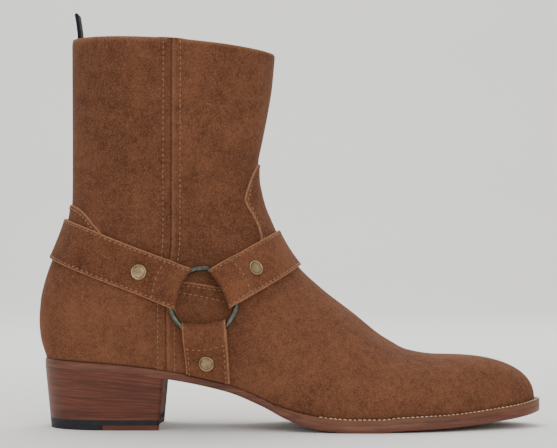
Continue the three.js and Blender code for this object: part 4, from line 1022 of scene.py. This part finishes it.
def heel_layer(name, node_name, start, end, low_at, high_at, finish, slot, layer=0.0):
    """One layer of the heel between two heights, its sides trimmed to the heel's outline."""
    bend = 1 - np.cos(np.linspace(0, np.pi / 2, 46))
    stations = bend * end if start == 0 else np.linspace(start, end, 24)
    along, share = np.meshgrid(stations, np.linspace(0, 1, 17), indexing="ij")
    low, high = heel_point(along, share, low_at(along)), heel_point(along, share, high_at(along))
    n, m = share.shape
    faces = [f[::-1] for f in strip_faces(n, m)] + strip_faces(n, m, n * m)
    outline = [i * m for i in range(n)] + [(n - 1) * m + j for j in range(1, m)]
    outline += [i * m + m - 1 for i in range(n - 2, -1, -1)] + list(range(m - 2, 0, -1))
    faces += [(a, b, n * m + b, n * m + a) for a, b in zip(outline, outline[1:] + outline[:1])]
    polish = np.ones((2, n, m))
    polish[:, -1] = 0.05
    piece = plain_mesh(name, np.vstack((low.reshape(-1, 3), high.reshape(-1, 3))), faces,
                       {"layer": np.repeat([layer, layer + 1], n * m), "polish": polish.ravel()}, sharp=35)
    eased = piece.modifiers.new("eased edges", "BEVEL")
    eased.width = edge_ease
    eased.segments = 2
    eased.limit_method = "ANGLE"
    eased.angle_limit = math.radians(50)
    piece.data.materials.append(finish)
    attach(piece, "root")
    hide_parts(node_name)


heel_leather = sole_leather_finish("stacked heel leather", colour(66, 29, 19), colour(100, 52, 35),
                                   colour(128, 76, 52), 26, lifts=True, wax=0.08)
f = Finish("black rubber")
scuff = f.speckle(160, 4, 0.65)
dust = f.speckle(900, 2)
base = f.mixed(f.spread(scuff, 0.45, 0.75), colour(24, 26, 30), colour(42, 45, 49))
rubber = f.done(0.35, 0.15 * mm, dust, {
    "Base Color": f.mixed(f.spread(dust, 0.62, 0.8, 0, 0.35), base, colour(84, 80, 76)),
    "Specular IOR Level": f.spread(f.share("polish"), 0, 1, 0, 0.3),
    "Roughness": f.spread(scuff, 0.3, 0.7, 0.5, 0.75)})


def lift_face(k, gap):
    return lambda along: stack_foot + (sole_z(along) - stack_foot) * k / lift_count + gap


def level(height):
    return lambda along: np.full_like(along, height)


for k in range(lift_count):
    heel_layer(f"lift_{k + 1}_leather", f"heel_lift_{k + 1}", 0, breast, lift_face(k, lift_joint),
               lift_face(k + 1, -lift_joint), heel_leather, "lift_leather", k)
heel_layer("rubber_layer_full", "heel_rubber_layer", 0, breast, level(top_piece_thickness + rubber_joint),
           level(stack_foot - rubber_joint), rubber, "rubber")
top_piece = level(0.0), level(top_piece_thickness - rubber_joint)
heel_layer("top_piece_back", "top_piece_rubber", 0, rubber_end, *top_piece, rubber, "rubber")
heel_layer("top_piece_front", "top_piece_leather", rubber_end + top_piece_joint / last_length, breast, *top_piece,
           heel_leather, "lift_leather", 3.4)

# The rings: two round rings of bent and brazed steel wire, finished dull pewter.
# Each lies over the hollow below the ankle and is held only by the three strap folds.
ring_diameter = 42 * mm
ring_wire = 3.3 * mm
strap_thickness = 2 * mm
ring_radius = (ring_diameter - ring_wire) / 2
ring_x, ring_z = place(0.3234, 0.578)


def ring_frame(side):
    """Where a ring lies: its middle, its axis and its turn, low over the highest skin under the wire."""
    u, v, _ = locate(ring_x, ring_z, side)
    foot, axis = Vector(skin(u, on_side(v, side))[0]), Vector(skin_normal(u, on_side(v, side))[0])
    turn = Vector((0, 0, 1)).rotation_difference(axis)
    right, up = turn @ Vector((1, 0, 0)), turn @ Vector((0, 1, 0))
    rise = -1.0
    for a in np.arange(24) / 24 * 2 * math.pi:
        p = foot + right * ring_radius * math.cos(a) + up * ring_radius * math.sin(a)
        pu, pv, _ = locate(p.x, p.z, side)
        rise = max(rise, (Vector(skin(pu, on_side(pv, side))[0]) - foot).dot(axis))
    level = rise + lap_step + clearance + strap_thickness * 0.8 + clearance + ring_wire / 2
    return {"centre": foot + axis * level, "axis": axis, "turn": turn, "side": side,
            "word": "outer" if side < 0 else "inner"}


rings = [ring_frame(-1), ring_frame(1)]
f = Finish("dull pewter wire")
tarnish = f.speckle(170, 4)
pewter = f.done(0.18, 0.1 * mm, f.speckle(900, 2), {
    "Base Color": f.mixed(f.spread(tarnish, 0.36, 0.66), colour(58, 57, 50), colour(112, 112, 101)),
    "Metallic": 1.0, "Roughness": f.spread(tarnish, 0.3, 0.7, 0.28, 0.46)})
turns, rounds = 120, 20
a = np.linspace(0, 2 * np.pi, turns, endpoint=False)[:, None]
b = np.linspace(0, 2 * np.pi, rounds, endpoint=False)[None]
reach = ring_radius + ring_wire / 2 * np.cos(b)
flat = np.stack((reach * np.cos(a), reach * np.sin(a), ring_wire / 2 * np.sin(b) + 0 * a), axis=-1).reshape(-1, 3)
for ring in rings:
    points = flat @ np.array(ring["turn"].to_matrix()).T + np.array(ring["centre"])
    piece = plain_mesh("wire_ring_" + ring["word"], points, strip_faces(turns, rounds, wrap=True, wrap_rows=True))
    piece.data.materials.append(pewter)
    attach(piece, "root")
    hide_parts("ring_" + ring["word"])

# The harness straps: one-inch suede straps, cut with raw edges. Each end is folded round a ring,
# sewn along both edges and across behind the fold, and riveted. The back strap goes round the
# heel, the front one over the instep, and a short one on each side goes down to the sole's edge.
strap_width = 25.4 * mm
fold_bow = 0.8 * mm
folds = {"back": 14.3 * mm, "front": 11.6 * mm, "lower": 12.1 * mm}
axes = {
    "back": (place(0.2831, 0.632), place(0.0179, 0.8605), 0.0),
    "front": (place(0.355, 0.6294), place(0.4964, 0.8134), 0.5),
    "lower": (place(0.3265, 0.45), place(0.333, 0.24), 0.0),
}
strap_rise = clearance + lap_step + strap_thickness
ring_spot = np.array((ring_x, ring_z))


def strap_height(u, v, ends):
    """Height of a strap's face over the skin: it rises where it wraps the wire of a ring."""
    p = skin(u, v)
    height = np.full(p.shape[:-1], strap_rise)
    for ring in ends:
        flat = p - np.array(ring["centre"])
        level = flat @ np.array(ring["axis"])
        radius = np.sqrt(np.maximum(0, (flat ** 2).sum(-1) - level ** 2))
        blend = 1 - smooth((radius - ring_radius - 2 * mm) / (14 * mm))
        loop = -level + ring_wire / 2 + clearance + strap_thickness
        risen = np.maximum(height, strap_rise + (loop - strap_rise) * blend)
        height = np.where(np.abs(level) > ring_diameter, height, risen)
    return height


@functools.cache
def lane_path(name, side, share):
    """Rows, columns and run along one lane of a strap, from its fold to the boot's middle or the sole."""
    near, far, stop = axes[name]
    aim = unit(far - near)
    normal = np.array((-aim[1], aim[0]))
    bow = fold_bow * (1 - 2 * (2 * share - 1) ** 2)
    start = (ring_spot - near) @ aim + folds[name] + bow
    offset = (share - 0.5) * strap_width
    t = start + np.arange(0, 130 * mm, 1 * mm)
    spots = near + aim * t[:, None] + normal * offset
    u, v, miss = locate(spots[:, 0], spots[:, 1], side)
    good = (miss < 0.04 * mm) & (v > 0.004) & (v < 0.496)
    end = len(good) if good.all() else int(np.argmin(good))
    u, v = u[:end], v[:end]

    def miss_at(row):
        q = skin(np.array([row]), np.array([on_side(stop, side)]))[0]
        return (q[0] - near[0]) * normal[0] + (q[2] - near[1]) * normal[1] - offset

    last_u = u[-1]
    for _ in range(30):
        slope = (miss_at(last_u + 0.004) - miss_at(last_u - 0.004)) / 0.008
        last_u -= np.clip(miss_at(last_u) / slope, -0.3, 0.3)
    u = np.concatenate((u, np.linspace(u[-1], last_u, 12)[1:]))
    v = np.concatenate((v, np.linspace(v[-1], stop, 12)[1:]))
    u, v = finer(u, v, 6 * len(u))
    v = on_side(v, side)
    if name == "lower":
        face = over(u, v, strap_rise)
        on_sole = face[:, 2] < outsole_top(along_at(face[:, 0])) + 0.15 * mm
        end = int(np.argmax(on_sole)) or len(u)
        u, v = u[:end], v[:end]
    return u, v, run_of(skin(u, v))


traced = np.array([0, 0.08, 0.2, 0.35, 0.5, 0.65, 0.8, 0.92, 1])

# The strap's outline across: place in the width, height in mm from its face, its turned-back ply or its
# underside, and paleness. The dip in the face is the groove of the sewing, and both edges are alike.
face_edge = [(0.0, "top", -0.42, 1.0), (0.006, "top", -0.16, 1.0), (0.022, "top", -0.02, 0.55),
             (0.042, "top", 0.0, 0.1), (0.054, "top", -0.02, 0.0), (0.066, "top", -0.2, 0.0),
             (0.084, "top", -0.02, 0.0), (0.2, "top", 0.1, 0.0), (0.35, "top", 0.16, 0.0)]
cut_edge = [(0.0, "ply", 0.25, 1.0), (0.015, "ply", 0.0, 0.6), (0.0, "ply", -0.25, 1.0), (0.002, "low", 0.1, 1.0),
            (0.1, "low", 0.0, 0.3)]
far_edge = [(1 - place_in_width, *rest) for place_in_width, *rest in face_edge[::-1] + cut_edge]
across_strap = face_edge + [(0.5, "top", 0.18, 0.0)] + far_edge + [(0.5, "low", 0.0, 0.0)] + cut_edge[::-1]
fold_nose = 3.4 * mm
strap_gap = 0.25 * mm
thinnest, thickest = 0.6 * mm, 9 * mm


def strap_body(name, mesh_name, u_lanes, v_lanes, ways, ends):
    """The closed body of a strap from its lanes; ways is the distance of each station from the near fold."""
    count = u_lanes.shape[1]
    loops = np.empty((count, len(across_strap), 3))
    pale = np.empty((count, len(across_strap)))
    nose = np.sqrt(np.clip(1 - (1 - np.clip(ways / fold_nose, 0, 1)) ** 2, 0, 1))
    for k, (share, kind, lift, paleness) in enumerate(across_strap):
        u = np.array([np.interp(share, traced, u_lanes[:, i]) for i in range(count)])
        v = np.array([np.interp(share, traced, v_lanes[:, i]) for i in range(count)])
        top = strap_height(u, v, ends)
        bottom = cover_height(skin(u, v)) + strap_gap
        bottom = np.minimum(np.maximum(bottom, top - thickest), top - thinnest)
        middle = np.maximum(top - strap_thickness * 1.35, (top + bottom) / 2)
        high = middle + (top - middle) * nose
        low = middle + (bottom - middle) * nose
        ply = np.maximum(high - strap_thickness * nose, low + 0.3 * mm * nose)
        value = {"top": high, "ply": ply, "low": low}[kind] + lift * mm * nose
        loops[:, k] = over(u, v, value)
        pale[:, k] = paleness
    # Painted light: the front strap's suede is lightened all over.
    painted_strap_light = np.full(pale.size, 0.22 if name == "front" else 0.0)
    return closed_band(mesh_name, loops, {"cut_edge_and_ridge_light": pale.ravel(), "painted_light_and_shade": painted_strap_light}, capped=True, sharp=55)


strap_suede = suede_finish("strap suede", colour(70, 39, 25), colour(121, 76, 52), colour(160, 115, 83))


def sewing_line(a, b, side, lift):
    return over(a, b, strap_height(a, b, [ring for ring in rings if ring["side"] == side]) + lift)


def line_on_strap(name, side, share, start, longest=400 * mm):
    """A sewing line along a lane, from a distance behind the fold to the lane's end."""
    u, v, ways = lane_path(name, side, share)
    end = min(longest, ways[-1] - 0.5 * mm)
    at = np.linspace(start, end, max(4, int((end - start) / mm)))
    return sewing_line(np.interp(at, ways, u), np.interp(at, ways, v), side, -0.05 * mm)


def line_across_strap(name, side, way, sag):
    """A sewing line across a strap at a distance behind its fold."""
    rows, lanes = [], []
    for share in traced:
        u, v, ways = lane_path(name, side, float(share))
        here = way + sag * (1 - (2 * share - 1) ** 2)
        rows.append(np.interp(here, ways, u))
        lanes.append(np.interp(here, ways, v))
    shares = np.linspace(0.09, 0.91, 22)
    return sewing_line(np.interp(shares, traced, rows), np.interp(shares, traced, lanes), side, 0.2 * mm)


# Sewing of each strap: the two lanes along it, where they start, where the row across lies, and its sag.
strap_sewing = {
    "back": ((0.066, 0.934), 1.2 * mm, 15 * mm, 0.6 * mm),
    "front": ((0.066, 0.934), 1.2 * mm, 13 * mm, 0.6 * mm),
    "lower": ((0.078, 0.922), 14.5 * mm, 14.5 * mm, 0.0),
}
for name, label, sides in (("back", "back", (-1, 1)), ("front", "front", (-1, 1)),
                           ("lower", "lower_outer", (-1,)), ("lower", "lower_inner", (1,))):
    longest = max(lane_path(name, sides[0], float(share))[2][-1] for share in traced)
    near_fold = np.array([0, 0.08, 0.25, 0.6, 1.1, 1.7, 2.4, 3.2, 4.2]) * mm / longest
    shares = np.concatenate((near_fold, np.linspace(5.4 * mm / longest, 1, int(longest / (1.6 * mm)))))
    halves = []
    for side in sides:
        lanes = [lane_path(name, side, float(share)) for share in traced]
        halves.append([np.array([np.interp(shares * ways[-1], ways, (u, v)[k]) for u, v, ways in lanes])
                       for k in (0, 1)])
    u_all, v_all, ways = *halves[0], shares * longest
    if len(sides) == 2:
        u_all, v_all = [np.hstack((there, back[:, :-1][:, ::-1])) for there, back in zip(*halves)]
        ways = np.concatenate((ways, ways[:-1][::-1]))
    ends = [ring for ring in rings if ring["side"] in sides]
    piece = strap_body(name, "suede_strap_" + label, u_all, v_all, ways, ends)
    piece.data.materials.append(strap_suede)
    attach(piece, "root")
    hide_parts("strap_" + label)
    edges, start, cross, sag = strap_sewing[name]
    rows_on_strap = []
    for side in sides:
        rows_on_strap += [line_on_strap(name, side, share, start) for share in edges]
        rows_on_strap.append(line_across_strap(name, side, cross, sag))
    sewn("strap_stitching_" + label, rows_on_strap, tan_thread)

# The rivets: tubular brass rivets with a flat domed cap and a rolled rim, aged to antique brass.
# One is set through both layers of each strap end, behind the cross row.
rivet_diameter = 9.3 * mm
rivet_seat = 0.17 * mm
rivet_places = {"back": 41.6 * mm, "front": 34.2 * mm, "lower": 35.6 * mm}
f = Finish("antique brass")
tarnish, brush = f.speckle(260, 4), f.speckle(1400, 2)
base = f.mixed(f.spread(tarnish, 0.36, 0.66), colour(128, 106, 78), colour(182, 160, 124))
brass = f.done(0.25, 0.1 * mm, brush, {
    "Base Color": f.mixed(f.share("hollow"), base, colour(70, 52, 36)), "Metallic": 1.0,
    "Roughness": f.spread(brush, 0.3, 0.7, 0.32, 0.5)})

# The cap's outline: share of its radius, height in mm, and how dark the dirt sits.
cap_profile = [
    (0.0, 1.34, 0.0), (0.25, 1.34, 0.0), (0.5, 1.28, 0.0), (0.66, 1.18, 0.1), (0.73, 1.08, 0.8), (0.78, 1.14, 0.5),
    (0.83, 1.32, 0.0), (0.89, 1.36, 0.0), (0.95, 1.2, 0.0), (0.99, 0.9, 0.0), (1.0, 0.55, 0.2), (0.985, 0.1, 0.7),
    (0.98, -0.3, 1.0)]
for name, distance in rivet_places.items():
    for ring in rings:
        near, far, _ = axes[name]
        aim = unit(far - near)
        spot = near + aim * ((ring_spot - near) @ aim + distance)
        u, v, _ = locate(spot[0], spot[1], ring["side"])
        w = on_side(v, ring["side"])
        around = [(u, w), (u + 0.25, w), (u - 0.25, w), (u, w + 0.015), (u, w - 0.015)]
        seat, ahead, behind, above, below = [over(a, b, strap_height(a, b, [ring]) + rivet_seat)[0]
                                             for a, b in around]
        turn = Vector((0, 0, 1)).rotation_difference(Vector(np.cross(above - below, ahead - behind)))
        a = np.linspace(0, 2 * np.pi, 40, endpoint=False)
        rim = [np.stack((np.cos(a) * r * rivet_diameter / 2, np.sin(a) * r * rivet_diameter / 2,
                         np.full(len(a), h * mm)), axis=1) for r, h, _ in cap_profile]
        points = np.vstack(rim) @ np.array(turn.to_matrix()).T + seat
        faces = strip_faces(len(cap_profile), len(a), wrap=True)
        faces.append(tuple((len(cap_profile) - 1) * len(a) + k for k in range(len(a))))
        depth = np.repeat([h for _, _, h in cap_profile], len(a))
        label = name + "_" + ring["word"]
        piece = plain_mesh("brass_rivet_" + label, points, faces, {"hollow": depth})
        piece.data.materials.append(brass)
        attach(piece, "root")
        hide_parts("rivet_" + label)

# The studio: a pale paper floor that runs up behind, large soft lights, and the camera, which
# stands level at the outer side.
floor_line = [(-3.2, 0.0), (1.7, 0.0), (2.0, 0.04), (2.25, 0.17), (2.42, 0.4), (2.5, 0.75), (2.52, 3.0)]
points = [(x, y, z) for y, z in floor_line for x in (-4.0, 4.2)]
faces = [(2 * k, 2 * k + 1, 2 * k + 3, 2 * k + 2) for k in range(len(floor_line) - 1)]
floor = plain_mesh("studio_floor", points, faces, closed=False)
paper = Finish("pale paper")
fill(paper.shader, {"Base Color": colour(240, 239, 237), "Roughness": 0.9})
floor.data.materials.append(paper.material)
world = bpy.data.worlds.new("studio air")
bpy.context.scene.world = world
world.use_nodes = True
fill(world.node_tree.nodes["Background"], {"Color": (1.0, 0.99, 0.975, 1), "Strength": 0.6})
boot_middle = (0.12, 0, 0.1)
for name, power, size, where, aimed in (
        ("key", 10.3, 1.1, (0.75, -1.45, 0.7), boot_middle), ("fill", 5.2, 1.2, (-0.9, -1.3, 0.4), boot_middle),
        ("back_left", 4, 0.7, (-0.9, 0.8, 0.7), boot_middle),
        ("back_right", 3.5, 0.7, (0.9, 1.0, 0.7), boot_middle), ("above", 10, 1.0, (0.1, 0.1, 1.5), boot_middle),
        ("backdrop", 30, 1.6, (0.1, 1.3, 2.0), (0.1, 2.5, 0.3))):
    lamp = bpy.data.lights.new(name, "AREA")
    lamp.energy = power
    lamp.size = size
    light = linked(name, lamp)
    light.location = where
    light.rotation_euler = (Vector(aimed) - Vector(where)).to_track_quat("-Z", "Y").to_euler()
camera_distance = 1.3
picture_width = 557
metres_per_pixel = 0.0006
lens = bpy.data.cameras.new("camera")
lens.sensor_width = 36
lens.lens = lens.sensor_width * camera_distance / (picture_width * metres_per_pixel)
camera = linked("camera", lens)
camera.location = (0.1194, -camera_distance, 0.121)
camera.rotation_euler = (math.pi / 2, 0, 0)
bpy.context.scene.camera = camera
